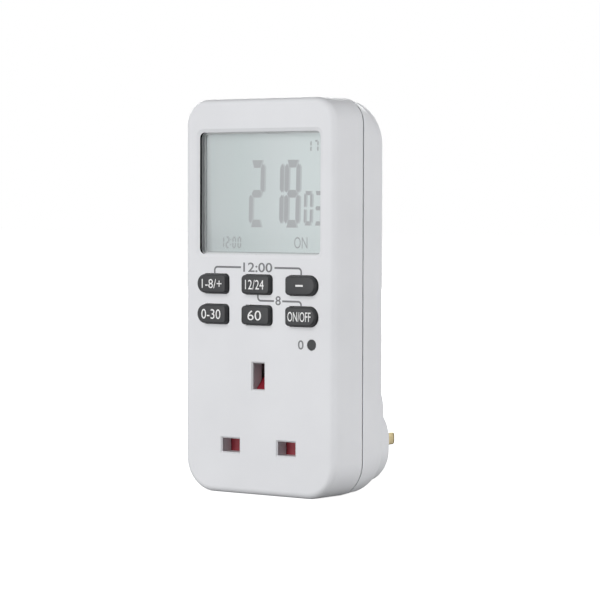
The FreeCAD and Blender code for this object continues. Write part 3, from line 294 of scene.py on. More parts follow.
def blend(tree, factor, first, second):
    # a mix of two colours; each is a socket or a fixed colour
    mix = addNode(tree, "ShaderNodeMix", data_type="RGBA")
    inputs = [socket for socket in mix.inputs if socket.type == "RGBA"]
    for socket, source in zip(inputs, (first, second)):
        if isinstance(source, bpy.types.NodeSocket):
            tree.links.new(source, socket)
        else:
            socket.default_value = source
    tree.links.new(factor, mix.inputs["Factor"])
    return [socket for socket in mix.outputs if socket.type == "RGBA"][0]


def softStep(tree, value, start, end, most=1.0):
    # from nothing at the start to its most at the end, with soft ends
    ramp = addNode(tree, "ShaderNodeMapRange", interpolation_type="SMOOTHSTEP")
    ramp.inputs["From Min"].default_value = start
    ramp.inputs["From Max"].default_value = end
    ramp.inputs["To Max"].default_value = most
    tree.links.new(value, ramp.inputs["Value"])
    return ramp.outputs["Result"]


def displayBacking(name, look):
    # the pale film: upright bands of two soft tints, with painted light making it paler to the right and
    # painted shade at its left end, reaching further in towards the bottom
    material, tree, shader = newMaterial(name)
    bands = objectNoise(tree, look["bandScale"], 2.0, (1, 1, 0.05))
    tint = tones(tree, bands, look["green"], look["lavender"])
    place = addNode(tree, "ShaderNodeTexCoord")
    axes = addNode(tree, "ShaderNodeSeparateXYZ")
    tree.links.new(place.outputs["Object"], axes.inputs["Vector"])
    # painted light: paler towards the right
    paintedLightShare = softStep(tree, axes.outputs["X"], look["paintedLightFrom"], look["paintedLightTo"], look["paintedLightMost"])
    tint = blend(tree, paintedLightShare, tint, look["paintedLight"])
    # painted shade at the left end, reaching further in towards the bottom
    lean = addNode(tree, "ShaderNodeMath", operation="MULTIPLY_ADD")
    lean.inputs[1].default_value = look["paintedShadeLean"]
    tree.links.new(axes.outputs["Z"], lean.inputs[0])
    tree.links.new(axes.outputs["X"], lean.inputs[2])
    clear = softStep(tree, lean.outputs["Value"], look["paintedShadeFrom"], look["paintedShadeTo"])
    tree.links.new(blend(tree, clear, look["paintedShade"], tint), shader.inputs["Base Color"])
    grain = objectNoise(tree, look["grainScale"], 2.0)
    tree.links.new(spread(tree, grain, *look["rough"]), shader.inputs["Roughness"])
    addBump(tree, shader, grain, look["bump"], look["grainDepth"])
    return material


backingPale = displayBacking("backingPale", backingLook)
rubberLook = {"dark": colour(52, 53, 56), "light": colour(60, 61, 64), "rough": (0.6, 0.75)}
stripRubber = mouldedPlastic("stripRubber", rubberLook)
matLook = dict(rubberLook, dark=colour(150, 152, 154), light=colour(160, 162, 164))
matRubber = mouldedPlastic("matRubber", matLook)

# Boards and what stands on them
boardLook = {
    "trackEdge": (0.30, 0.34),
    "trackDepth": 0.00004,
    "weaveScale": 3000,
    "rough": (0.28, 0.42),
    "bump": 0.2,
}
boardGreen = circuitBoard("boardGreen", dict(
    boardLook, dark=colour(24, 74, 44), light=colour(36, 98, 58), trackScale=260,
))
boardBrown = circuitBoard("boardBrown", dict(
    boardLook, dark=colour(150, 104, 56), light=colour(176, 128, 74), trackScale=180,
))
resinBlack = mouldedPlastic("resinBlack", {
    "dark": colour(18, 18, 19), "light": colour(26, 26, 27), "rough": (0.16, 0.3), "driftScale": 300,
})
componentBlack = mouldedPlastic("componentBlack", {
    "dark": colour(30, 31, 33), "light": colour(38, 39, 41), "rough": (0.4, 0.55),
})
componentYellow = mouldedPlastic("componentYellow", {
    "dark": colour(214, 176, 52), "light": colour(226, 190, 70), "rough": (0.35, 0.5),
})
resistorCoat = mouldedPlastic("resistorCoat", {
    "dark": colour(92, 128, 152), "light": colour(104, 140, 164), "rough": (0.4, 0.55), "driftScale": 500,
})
varistorCoat = mouldedPlastic("varistorCoat", {
    "dark": colour(30, 70, 140), "light": colour(40, 84, 156), "rough": (0.3, 0.45), "driftScale": 400,
})
capacitorSleeve = mouldedPlastic("capacitorSleeve", {
    "dark": colour(22, 26, 44), "light": colour(30, 34, 56), "rough": (0.25, 0.38),
})
headerPlastic = mouldedPlastic("headerPlastic", {
    "dark": colour(206, 200, 184), "light": colour(216, 210, 196), "rough": (0.45, 0.6),
})
canLook = dict(steelLook, dark=colour(186, 186, 188), light=colour(212, 212, 214))
canSteel = drawnMetal("canSteel", canLook)

finishOf = {
    "earth_pin": pinBrass, "live_pin": pinBrass, "neutral_pin": pinBrass,
    "live_pin_sleeve": sleeveBlack, "neutral_pin_sleeve": sleeveBlack,
    "earth_contact": contactBrass, "live_contact": contactBrass, "neutral_contact": contactBrass,
    "live_feed_strap": contactBrass, "load_strap": contactBrass, "neutral_strap": contactBrass,
    "contact_carrier": carrierPlastic, "shutter_guide": innerPlastic,
    "shutter": shutterRed, "shutter_spring": springSteel,
    "display_window": clearWindow, "display_frame": framePale, "display_panel": displayGlass,
    "display_pad": backingPale, "contact_strip": stripRubber, "keypad_mat": matRubber,
    "control_board": boardGreen, "power_board": boardBrown, "clock_chip": resinBlack,
    "crystal": canSteel, "relay": componentBlack, "mains_capacitor": componentYellow,
    "rectifier": componentBlack, "dropper_resistor": resistorCoat, "varistor": varistorCoat,
    "smoothing_capacitor": capacitorSleeve, "backup_battery": canSteel,
    "board_link_header": headerPlastic,
}
for name, material in finishOf.items():
    setMaterial(nodes[name], material)

print("materials on the frame's nodes: done")

# Edges steeper than this stay crisp
creaseAngle = math.radians(38)


def addPiece(name, vertices, faces, material, body, smooth=False):
    mesh = bpy.data.meshes.new(name)
    mesh.from_pydata(vertices, [], faces)
    mesh.validate()
    mesh.update()
    if smooth:
        mesh.shade_smooth()
        mesh.set_sharp_from_angle(angle=creaseAngle)
    thing = bpy.data.objects.new(name, mesh)
    bpy.context.scene.collection.objects.link(thing)
    mesh.materials.append(material)
    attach(thing, body)
    return thing


def arcPoints(centreX, centreZ, radius, start, end, steps):
    return [
        (
            centreX + radius * math.cos(math.radians(start + (end - start) * i / steps)),
            centreZ + radius * math.sin(math.radians(start + (end - start) * i / steps)),
        )
        for i in range(steps + 1)
    ]


def circlePoints(radius, count):
    return arcPoints(0, 0, radius, 0, 360 - 360 / count, count - 1)


def quarterTurn(steps):
    # angles of a rounded edge, from its start to its end
    return [math.radians(step * 90 / steps) for step in range(steps + 1)]


def roundedOutline(half, rise, leftRadius, rightRadius, steps=10):
    # counter-clockwise seen from the front, starting at the right foot
    points = []
    points += arcPoints(half - rightRadius, rightRadius - rise, rightRadius, -90, 0, steps)
    points += arcPoints(half - rightRadius, rise - rightRadius, rightRadius, 0, 90, steps)
    points += arcPoints(leftRadius - half, rise - leftRadius, leftRadius, 90, 180, steps)
    points += arcPoints(leftRadius - half, leftRadius - rise, leftRadius, 180, 270, steps)
    return points


def stackRings(rings):
    # rings of equal length joined by quads, closed by one face at each end
    vertices = []
    faces = []
    count = len(rings[0])
    for ring in rings:
        vertices += ring
    for level in range(len(rings) - 1):
        for i in range(count):
            a = level * count + i
            b = level * count + (i + 1) % count
            faces.append((a, b, b + count, a + count))
    faces.append(tuple(reversed(range(count))))
    faces.append(tuple(range((len(rings) - 1) * count, len(rings) * count)))
    return vertices, faces


# Keys
keyLook = {
    "dark": colour(56, 57, 59),
    "light": colour(62, 63, 65),
    "rough": (0.42, 0.56),
    "grainScale": 2000,
    "bump": 0.12,
    "gloss": 0.4,
}
keyShape = {
    "rise": 1.83 * mm,
    "taper": math.tan(math.radians(5)),
    "edge": 0.5 * mm,
    "corner": 1.3 * mm,
    "roundEnd": 3.0 * mm,
    "flange": 0.9 * mm,
    "flangeFront": 1.85 * mm,
    "flangeBack": 2.65 * mm,
    "stemRadius": 1.6 * mm,
    "stemPoints": 32,
    "edgeSteps": 7,
}
keyGrey = mouldedPlastic("keyGrey", keyLook)
roundSides = {
    "key_plus": -1, "key_set": 0, "key_minus": 1,
    "key_random": -1, "key_count": 0, "key_on_off": 1,
}


def keyCap(name, roundSide):
    shape = keyShape
    low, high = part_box(name)
    x = (low.x + high.x) / 2
    z = (low.z + high.z) / 2
    half = (high.x - low.x) / 2 - shape["flange"]
    rise = (high.z - low.z) / 2 - shape["flange"]
    left = shape["roundEnd"] if roundSide < 0 else shape["corner"]
    right = shape["roundEnd"] if roundSide > 0 else shape["corner"]

    def ring(inset, depth):
        points = roundedOutline(half - inset, rise - inset, left - inset, right - inset)
        return [(x + px, faceY + depth, z + pz) for px, pz in points]

    levels = [
        (-shape["flange"], shape["flangeBack"]),
        (-shape["flange"], shape["flangeFront"]),
        (0.0, shape["flangeFront"]),
        (0.0, 0.0),
    ]
    straight = shape["rise"] - shape["edge"]
    side = shape["taper"] * straight
    levels.append((side, -straight))
    for angle in quarterTurn(shape["edgeSteps"])[1:]:
        levels.append((
            side + shape["edge"] * (1 - math.cos(angle)),
            -straight - shape["edge"] * math.sin(angle),
        ))
    vertices, faces = stackRings([ring(inset, depth) for inset, depth in levels])
    stem = [
        [(x + px, stemDepth, z + pz) for px, pz in circlePoints(shape["stemRadius"], shape["stemPoints"])]
        for stemDepth in (high.y, faceY + shape["flangeBack"])
    ]
    stemVertices, stemFaces = stackRings(stem)
    start = len(vertices)
    vertices += stemVertices
    faces += [tuple(i + start for i in face) for face in stemFaces]
    cap = addPiece(name + "_cap", vertices, faces, keyGrey, name, smooth=True)
    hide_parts(name)
    return cap


for name, roundSide in roundSides.items():
    keyCap(name, roundSide)
setMaterial(nodes["reset_key"], keyGrey)
print("keys: done")


# Pins with rounded tips
pinShape = {
    "face": 0.0,
    "headBack": -2.2 * mm,
    "headFront": -4.0 * mm,
    "tailWidth": 2.8 * mm,
    "tailHeight": 2.4 * mm,
    "headMargin": 1.1 * mm,
    "sleeveLength": 9.3 * mm,
    "sleeveWall": 0.7 * mm,
    "corner": 0.35 * mm,
    "tipLength": 2.1 * mm,
    "tipAcross": 1.6 * mm,
    "tipUp": 1.6 * mm,
    "tipRound": 0.95,
    "tipSteps": 7,
    "cornerSteps": 6,
}


def plugPin(name, sleeve, shape):
    # tail, head and shank in one piece; the shank is thinner inside its sleeve
    low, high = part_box(name)
    x = (low.x + high.x) / 2
    z = (low.z + high.z) / 2
    half = (high.x - low.x) / 2 - shape["headMargin"]
    rise = (high.z - low.z) / 2 - shape["headMargin"]
    corner = shape["corner"]

    def ring(across, up, radius, depth):
        outline = roundedOutline(across, up, radius, radius, shape["cornerSteps"])
        return [(x + px, depth, z + pz) for px, pz in outline]

    margin = shape["headMargin"]
    tail = (shape["tailWidth"] / 2, shape["tailHeight"] / 2)
    rings = [
        ring(*tail, corner, low.y),
        ring(*tail, corner, shape["headFront"]),
        ring(half + margin, rise + margin, corner, shape["headFront"]),
        ring(half + margin, rise + margin, corner, shape["headBack"]),
        ring(half - sleeve, rise - sleeve, corner, shape["headBack"]),
    ]
    if sleeve:
        rings.append(ring(half - sleeve, rise - sleeve, corner, shape["face"] + shape["sleeveLength"]))
        rings.append(ring(half, rise, corner, shape["face"] + shape["sleeveLength"]))
    for angle in quarterTurn(shape["tipSteps"]):
        across = half - shape["tipAcross"] * (1 - math.cos(angle))
        up = rise - shape["tipUp"] * (1 - math.cos(angle))
        radius = min(
            corner + shape["tipAcross"] * (1 - math.cos(angle)),
            across * shape["tipRound"],
            up * shape["tipRound"],
        )
        rings.append(ring(across, up, radius, high.y - shape["tipLength"] * (1 - math.sin(angle))))
    vertices, faces = stackRings(rings)
    pin = addPiece(name + "_solid", vertices, faces, pinBrass, "case", smooth=True)
    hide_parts(name)


for name, sleeve in (
    ("live_pin", pinShape["sleeveWall"]), ("neutral_pin", pinShape["sleeveWall"]), ("earth_pin", 0.0),
):
    plugPin(name, sleeve, pinShape)
print("pins: done")


# Skirt of the plug base, with fuller shoulders and a rounded rim
skirtShape = {
    "discRadius": 22.0 * mm,
    "discZ": 9.4 * mm,
    "half": 24.1 * mm,
    "top": 13.2 * mm,
    "bottom": -13.0 * mm,
    "shoulder": 11.7 * mm,
    "foot": 11.0 * mm,
    "edge": 0.4 * mm,
    "cover": 3.2 * mm,
    "height": 9.3 * mm,
    "lift": 0.015 * mm,
    "centreZ": 3.0 * mm,
    "points": 240,
    "farthest": 60.0 * mm,
    "halvings": 40,
    "edgeSteps": 5,
}


def plugOutline(x, z, shape):
    # distance from the outline of the plug base, less than nothing inside it
    disc = math.hypot(x, z - shape["discZ"]) - shape["discRadius"]
    x = abs(x)
    block = max(x - shape["half"], z - shape["top"], shape["bottom"] - z)
    for radius, cornerZ, above in (
        (shape["shoulder"], shape["top"] - shape["shoulder"], 1),
        (shape["foot"], shape["bottom"] + shape["foot"], -1),
    ):
        cornerX = shape["half"] - radius
        if x > cornerX and (z - cornerZ) * above > 0:
            block = math.hypot(x - cornerX, z - cornerZ) - radius
    return min(disc, block)


def closedRing(name, rings, material, body):
    # rings of equal length, the last one joined to the first
    count = len(rings[0])
    vertices = [corner for ring in rings for corner in ring]
    faces = []
    for level in range(len(rings)):
        following = (level + 1) % len(rings)
        for i in range(count):
            j = (i + 1) % count
            faces.append((level * count + i, level * count + j, following * count + j, following * count + i))
    return addPiece(name, vertices, faces, material, body, smooth=True)


def plugSkirt(shape):
    # each point lies where a ray from the middle crosses the outline, found by halving
    def ring(inset, depth):
        points = []
        for i in range(shape["points"]):
            angle = 2 * math.pi * i / shape["points"]
            near = 0.0
            far = shape["farthest"]
            for _ in range(shape["halvings"]):
                reach = (near + far) / 2
                x = reach * math.cos(angle)
                z = shape["centreZ"] + reach * math.sin(angle)
                if plugOutline(x, z, shape) < -inset:
                    near = reach
                else:
                    far = reach
            points.append((near * math.cos(angle), depth, shape["centreZ"] + near * math.sin(angle)))
        return points

    edge = shape["edge"]
    lift = shape["lift"]
    levels = [(-lift, -shape["height"]), (-lift, -edge)]
    for angle in quarterTurn(shape["edgeSteps"])[1:]:
        levels.append((edge * (1 - math.cos(angle)) - lift, -edge * (1 - math.sin(angle)) - lift))
    levels.append((shape["cover"], -lift))
    closedRing("plug_skirt", [ring(*level) for level in levels], caseWhite, "case")


plugSkirt(skirtShape)
print("plug skirt: done")


# Rim round the window: a shallow slope down to a black strip of painted shade, standing for the dark gap
# between the window and the case
bezelShape = {
    "bevel": 1.25 * mm,
    "flange": 1.6 * mm,
    "corner": 1.5 * mm,
    "slope": 1.1 * mm,
    "slopeDepth": 0.42 * mm,
    "gapShadeDepth": 1.22 * mm,
    "gapShadeGrow": 0.13 * mm,
    "gapShadeWall": 0.05 * mm,
    "fitGap": 0.1 * mm,
    "borderWidth": 0.35 * mm,
    "borderHeight": 0.35 * mm,
    "borderThickness": 0.01 * mm,
    "lift": 0.01 * mm,
    "cornerSteps": 8,
}
# black of painted shade for the gap round the window
gapShadeBlack = mouldedPlastic("gapShadeBlack", {
    "dark": colour(3, 3, 3), "light": colour(6, 6, 6), "rough": (0.5, 0.65), "gloss": 0.1,
})
# grey of painted shade for the frame's lip
lipShadeGrey = mouldedPlastic("lipShadeGrey", {
    "dark": colour(192, 193, 194), "light": colour(198, 199, 200), "rough": (0.45, 0.6),
})


def windowRing(across, up, depth, shape):
    # an outline round the window's raised part, wider and taller by the given amounts
    half = (windowHigh.x - windowLow.x) / 2 - shape["flange"] + across
    rise = (windowHigh.z - windowLow.z) / 2 - shape["flange"] + up
    z = (windowHigh.z + windowLow.z) / 2
    radius = shape["corner"] + (across + up) / 2
    outline = roundedOutline(half, rise, radius, radius, shape["cornerSteps"])
    return [(px, faceY + depth, z + pz) for px, pz in outline]


def windowBezel(shape):
    outer = shape["bevel"] + shape["fitGap"] - shape["lift"]
    inner = outer - shape["slope"]
    wall = shape["gapShadeWall"]
    foot = shape["gapShadeGrow"]
    low = shape["slopeDepth"]
    closedRing("window_bezel", [
        windowRing(outer, outer, shape["lift"], shape),
        windowRing(inner, inner, low, shape),
        windowRing(inner + wall, inner + wall, low + wall, shape),
    ], caseWhite, "case")
    # painted shade: a black strip down the opening's wall
    closedRing("window_gap_shade", [
        windowRing(inner + wall, inner + wall, low + shape["lift"], shape),
        windowRing(inner, inner, low + shape["lift"], shape),
        windowRing(foot, inner, shape["gapShadeDepth"], shape),
        windowRing(foot + wall, inner + wall, shape["gapShadeDepth"], shape),
    ], gapShadeBlack, "case")


def windowLipShade(shape):
    # a thin grey border on the back of the window, in front of the frame's lip: painted shade, a grey standing
    # for the lip in the case's shadow
    back = windowHigh.y - faceY - shape["lift"]
    front = back - shape["borderThickness"]
    across = -shape["borderWidth"]
    up = -shape["borderHeight"]
    closedRing("window_lip_shade", [
        windowRing(0, 0, back, shape),
        windowRing(0, 0, front, shape),
        windowRing(across, up, front, shape),
        windowRing(across, up, back, shape),
    ], lipShadeGrey, "case")


windowBezel(bezelShape)
windowLipShade(bezelShape)
print("window rim: done")


# Print on the face and on the keys
printLook = {
    "thickness": 0.012 * mm,
    "keyBold": 0.0,
    "faceBold": 0.012,
    "curveSteps": 5,
}
faceInk = mouldedPlastic("faceInk", {
    "dark": colour(112, 113, 116), "light": colour(122, 123, 126), "rough": (0.5, 0.65), "bump": 0.05,
})
keyInk = mouldedPlastic("keyInk", {
    "dark": colour(232, 232, 232), "light": colour(240, 240, 240), "rough": (0.5, 0.65), "bump": 0.05,
})


def flatShapes(name, shapes, depth, thickness, material, body):
    # closed outlines of x and z, as thin plates that stand out from a depth
    vertices = []
    faces = []
    for shape in shapes:
        area = sum(
            shape[i][0] * shape[(i + 1) % len(shape)][1] - shape[(i + 1) % len(shape)][0] * shape[i][1]
            for i in range(len(shape))
        )
        outline = shape if area > 0 else list(reversed(shape))
        start = len(vertices)
        count = len(outline)
        vertices += [(px, depth, pz) for px, pz in outline]
        vertices += [(px, depth - thickness, pz) for px, pz in outline]
        faces.append(tuple(start + count + i for i in range(count)))
        for i in range(count):
            j = (i + 1) % count
            faces.append((start + i, start + j, start + count + j, start + count + i))
    return addPiece(name, vertices, faces, material, body)


def ribbon(points, width, closed=False):
    # quads of one width along a path
    count = len(points)
    sides = []
    for i in range(count):
        before = points[i - 1] if i > 0 or closed else points[0]
        after = points[(i + 1) % count] if i < count - 1 or closed else points[-1]
        direction = Vector((after[0] - before[0], after[1] - before[1])).normalized()
        across = Vector((-direction.y, direction.x)) * width / 2
        here = Vector(points[i])
        sides.append((here + across, here - across))
    quads = []
    last = count if closed else count - 1
    for i in range(last):
        j = (i + 1) % count
        quads.append([tuple(sides[i][0]), tuple(sides[j][0]), tuple(sides[j][1]), tuple(sides[i][1])])
    return quads


def bentLine(corners, radius):
    # straight runs with quarter turns of one radius between them
    path = [corners[0]]
    for i in range(1, len(corners) - 1):
        here = Vector(corners[i])
        arriving = (here - Vector(corners[i - 1])).normalized()
        leaving = (Vector(corners[i + 1]) - here).normalized()
        start = here - arriving * radius
        for angle in quarterTurn(6):
            onward = arriving * radius * math.sin(angle)
            aside = leaving * radius * (1 - math.cos(angle))
            path.append(tuple(start + onward + aside))
    path.append(corners[-1])
    return path


bracketLook = {
    "line": 0.6 * mm,
    "bend": 1.1 * mm,
    "upperZ": 56.4 * mm,
    "upperLeft": -17.6 * mm,
    "upperRight": 17.0 * mm,
    "upperGap": (-6.9 * mm, 6.5 * mm),
    "keyTop": 54.2 * mm,
    "lowerZ": 46.05 * mm,
    "lowerLeft": -0.1 * mm,
    "lowerRight": 17.0 * mm,
    "lowerGap": (6.3 * mm, 9.6 * mm),
    "lowerStart": 47.9 * mm,
    "lowerEnd": 44.6 * mm,
}


def faceLines(look):
    lines = []
    upper = look["upperZ"]
    lower = look["lowerZ"]
    routes = [
        [(look["upperLeft"], look["keyTop"]), (look["upperLeft"], upper), (look["upperGap"][0], upper)],
        [(look["upperGap"][1], upper), (look["upperRight"], upper), (look["upperRight"], look["keyTop"])],
        [(look["lowerLeft"], look["lowerStart"]), (look["lowerLeft"], lower), (look["lowerGap"][0], lower)],
        [(look["lowerGap"][1], lower), (look["lowerRight"], lower), (look["lowerRight"], look["lowerEnd"])],
    ]
    for route in routes:
        lines += ribbon(bentLine(route, look["bend"]), look["line"])
    return lines


flatShapes("face_lines", faceLines(bracketLook), faceY, printLook["thickness"], faceInk, "case")


def printText(name, text, place, size, bold, material, body):
    # figures from the built-in font, scaled to a width and a height about a place
    curve = bpy.data.curves.new(name, "FONT")
    curve.body = text
    curve.offset = bold
    curve.resolution_u = printLook["curveSteps"]
    writer = bpy.data.objects.new(name, curve)
    bpy.context.scene.collection.objects.link(writer)
    flat = bpy.data.meshes.new_from_object(writer.evaluated_get(bpy.context.evaluated_depsgraph_get()))
    bpy.data.objects.remove(writer)
    spotsX = [vertex.co.x for vertex in flat.vertices]
    spotsY = [vertex.co.y for vertex in flat.vertices]
    x, depth, z = place
    width, height = size
    scaleX = width / (max(spotsX) - min(spotsX))
    scaleZ = height / (max(spotsY) - min(spotsY))
    centreX = (max(spotsX) + min(spotsX)) / 2
    centreZ = (max(spotsY) + min(spotsY)) / 2
    vertices = [
        (x + (vertex.co.x - centreX) * scaleX, depth, z + (vertex.co.y - centreZ) * scaleZ)
        for vertex in flat.vertices
    ]
    faces = [tuple(polygon.vertices) for polygon in flat.polygons]
    bpy.data.meshes.remove(flat)
    return addPiece(name, vertices, faces, material, body)


legends = {
    "key_plus": ("1-8/+", 8.1 * mm, 2.9 * mm, 0.3 * mm),
    "key_set": ("12/24", 7.4 * mm, 3.0 * mm, -0.1 * mm),
    "key_minus": ("-", 2.9 * mm, 0.55 * mm, -0.1 * mm),
    "key_random": ("0-30", 7.8 * mm, 3.1 * mm, 0.0),
    "key_count": ("60", 5.4 * mm, 3.1 * mm, -0.1 * mm),
    "key_on_off": ("ON/OFF", 9.0 * mm, 3.0 * mm, -0.1 * mm),
}
for name, (text, width, height, shift) in legends.items():
    low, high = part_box(name)
    depth = faceY - keyShape["rise"] - printLook["thickness"]
    place = ((low.x + high.x) / 2 + shift, depth, (low.z + high.z) / 2)
    printText(name + "_legend", text, place, (width, height), printLook["keyBold"], keyInk, name)

faceMarks = {
    "bracket_time": ("12:00", (-0.2, 56.45), (11.6, 3.0)),
    "bracket_step": ("8", (7.95, 46.2), (2.1, 2.9)),
    "reset_mark": ("0", (16.9, 32.7), (2.2, 2.9)),
}
for name, (text, (x, z), (width, height)) in faceMarks.items():
    place = (x * mm, faceY - printLook["thickness"], z * mm)
    printText(name, text, place, (width * mm, height * mm), printLook["faceBold"], faceInk, "case")


# Display film and its figures
figureLook = {
    "ink": (colour(174, 173, 176), colour(179, 178, 181)),
    # painted shadows of the figures on the film
    "paintedShadow": (colour(190, 192, 194), colour(194, 196, 198)),
    "faint": (colour(170, 171, 173), colour(176, 177, 179)),
    "filmDepth": 0.5 * mm,
    "filmInset": 2.02 * mm,
    "paintedShadowShift": 0.62 * mm,
    "slant": 0.024,
    "inkDepth": 0.006 * mm,
    "inkStep": 0.007 * mm,
    "stateStep": 0.004 * mm,
    "big": {"height": 21.1 * mm, "width": 6.0 * mm, "bar": 2.4 * mm, "post": 1.55 * mm, "bottom": 69.0 * mm},
    "small": {"height": 10.7 * mm, "width": 3.1 * mm, "bar": 1.3 * mm, "post": 0.75 * mm, "bottom": 69.7 * mm},
    "day": {"height": 3.8 * mm, "width": 1.8 * mm, "bar": 0.62 * mm, "post": 0.55 * mm, "bottom": 92.4 * mm},
    "time": {"height": 3.7 * mm, "width": 1.5 * mm, "bar": 0.56 * mm, "post": 0.48 * mm, "bottom": 62.3 * mm},
}
# shares of the post's width and of the bar's height
segmentShape = {
    "outerCut": 0.62,
    "innerCut": 1.12,
    "innerTip": [(0.0, 0.45), (0.45, 0.12), (1.0, 0.6)],
    "outerTip": [(1.0, 1.1), (0.5, 0.45), (0.0, 0.9)],
}
segmentsOf = {
    "0": "abcdef", "1": "bc", "2": "abged", "3": "abgcd", "4": "fgbc",
    "5": "afgcd", "6": "afgedc", "7": "abc", "8": "abcdefg", "9": "abcdfg",
}
displayInk = mouldedPlastic("displayInk", {
    "dark": figureLook["ink"][0], "light": figureLook["ink"][1], "rough": (0.5, 0.6), "bump": 0.02,
})
# painted shadow of the figures
displayPaintedShadow = mouldedPlastic("displayPaintedShadow", {
    "dark": figureLook["paintedShadow"][0], "light": figureLook["paintedShadow"][1], "rough": (0.6, 0.7), "bump": 0.02,
})
displayFaint = mouldedPlastic("displayFaint", {
    "dark": figureLook["faint"][0], "light": figureLook["faint"][1], "rough": (0.6, 0.7), "bump": 0.02,
})
filmY = panelLow.y - figureLook["filmDepth"]


def displayFilm(look):
    # a satin sheet on the front glass, inside the frame
    inset = look["filmInset"]
    outline = [
        (windowLow.x + inset, windowLow.z + inset), (windowHigh.x - inset, windowLow.z + inset),
        (windowHigh.x - inset, windowHigh.z - inset), (windowLow.x + inset, windowHigh.z - inset),
    ]
    flatShapes("display_film", [outline], panelLow.y, look["filmDepth"], backingPale, "case")


def figureSegments(figure, x, look):
    # seven segments: wedge-shaped bars across, narrow posts with pointed ends
    bar = look["bar"]
    post = look["post"]
    foot = look["bottom"]
    middle = foot + look["height"] / 2
    top = foot + look["height"]
    right = x + look["width"]
    wide = post * segmentShape["outerCut"]
    narrow = post * segmentShape["innerCut"]
    inner = segmentShape["innerTip"]
    outer = segmentShape["outerTip"]
    shapes = {
        "a": [(x + wide, top), (x + narrow, top - bar), (right - narrow, top - bar), (right - wide, top)],
        "d": [(x + wide, foot), (right - wide, foot), (right - narrow, foot + bar), (x + narrow, foot + bar)],
        "g": [
            (x + wide, middle), (x + narrow, middle - bar / 2), (right - narrow, middle - bar / 2),
            (right - wide, middle), (right - narrow, middle + bar / 2), (x + narrow, middle + bar / 2),
        ],
        "f": [(x + post * px, middle + bar * pz) for px, pz in inner],
        "e": [(x + post * px, foot + bar * pz) for px, pz in reversed(outer)],
    }
    shapes["f"] += [(x + post * px, top - bar * pz) for px, pz in outer]
    shapes["e"] += [(x + post * px, middle - bar * pz) for px, pz in reversed(inner)]
    for new, old in {"b": "f", "c": "e"}.items():
        shapes[new] = [(x + right - px, pz) for px, pz in shapes[old]]
    slant = figureLook["slant"]
    return [[(px + slant * (pz - foot), pz) for px, pz in shapes[letter]] for letter in segmentsOf[figure]]


def figureRow(places, look):
    shapes = []
    for figure, x in places:
        shapes += figureSegments(figure, x * mm, look)
    return shapes


def square(x, z, size):
    half = size / 2
    return [(x - half, z - half), (x + half, z - half), (x + half, z + half), (x - half, z + half)]


# left edges of the figures, in millimetres
figurePlaces = {
    "big": [("2", -6.2), ("1", 1.5), ("8", 7.9)],
    "small": [("0", 15.65), ("3", 19.65)],
    "day": [("1", 16.9), ("7", 19.6)],
    "time": [("1", -17.6), ("2", -15.5), ("0", -12.8), ("0", -10.7)],
    "dots": [(-13.4, 63.5), (-13.4, 65.0)],
    "dotSize": 0.4 * mm,
    "state": (14.6, 64.3),
    "stateSize": (5.2 * mm, 3.6 * mm),
}


def displayPrint(places, look):
    figures = figureRow(places["big"], look["big"]) + figureRow(places["small"], look["small"])
    # copies of the figures moved to the right: painted shadows of the figures on the film
    shadows = [[(px + look["paintedShadowShift"], pz) for px, pz in shape] for shape in figures]
    marks = figureRow(places["day"], look["day"]) + figureRow(places["time"], look["time"])
    marks += [square(x * mm, z * mm, places["dotSize"]) for x, z in places["dots"]]
    ink = look["inkDepth"]
    nearer = filmY - look["inkStep"]
    flatShapes("display_shadows", shadows, filmY, ink, displayPaintedShadow, "case")
    flatShapes("display_figures", figures, nearer, ink, displayInk, "case")
    flatShapes("display_marks", marks, filmY, ink, displayFaint, "case")
    x, z = places["state"]
    spot = (x * mm, filmY - look["stateStep"], z * mm)
    printText("display_state", "ON", spot, places["stateSize"], 0.0, displayFaint, "case")


displayFilm(figureLook)
displayPrint(figurePlaces, figureLook)
print("display: done")


# Screws at the bottom of the two wells in the back
screwLook = {
    "x": 17.8 * mm,
    "z": 103.6 * mm,
    "seat": 20.0 * mm,
    "headRadius": 2.35 * mm,
    "headHeight": 1.9 * mm,
    "edge": 0.6 * mm,
    "shankRadius": 1.25 * mm,
    "shankLength": 11.8 * mm,
    "slotLength": 2.7 * mm,
    "slotWidth": 0.62 * mm,
    "slotDepth": 1.1 * mm,
    "slotFoot": 0.55,
    "slotMouth": 1.06,
    "slotClear": 0.2 * mm,
    "tip": 0.5,
    "crown": 1.6,
    "edgeSteps": 5,
    "points": 48,
}


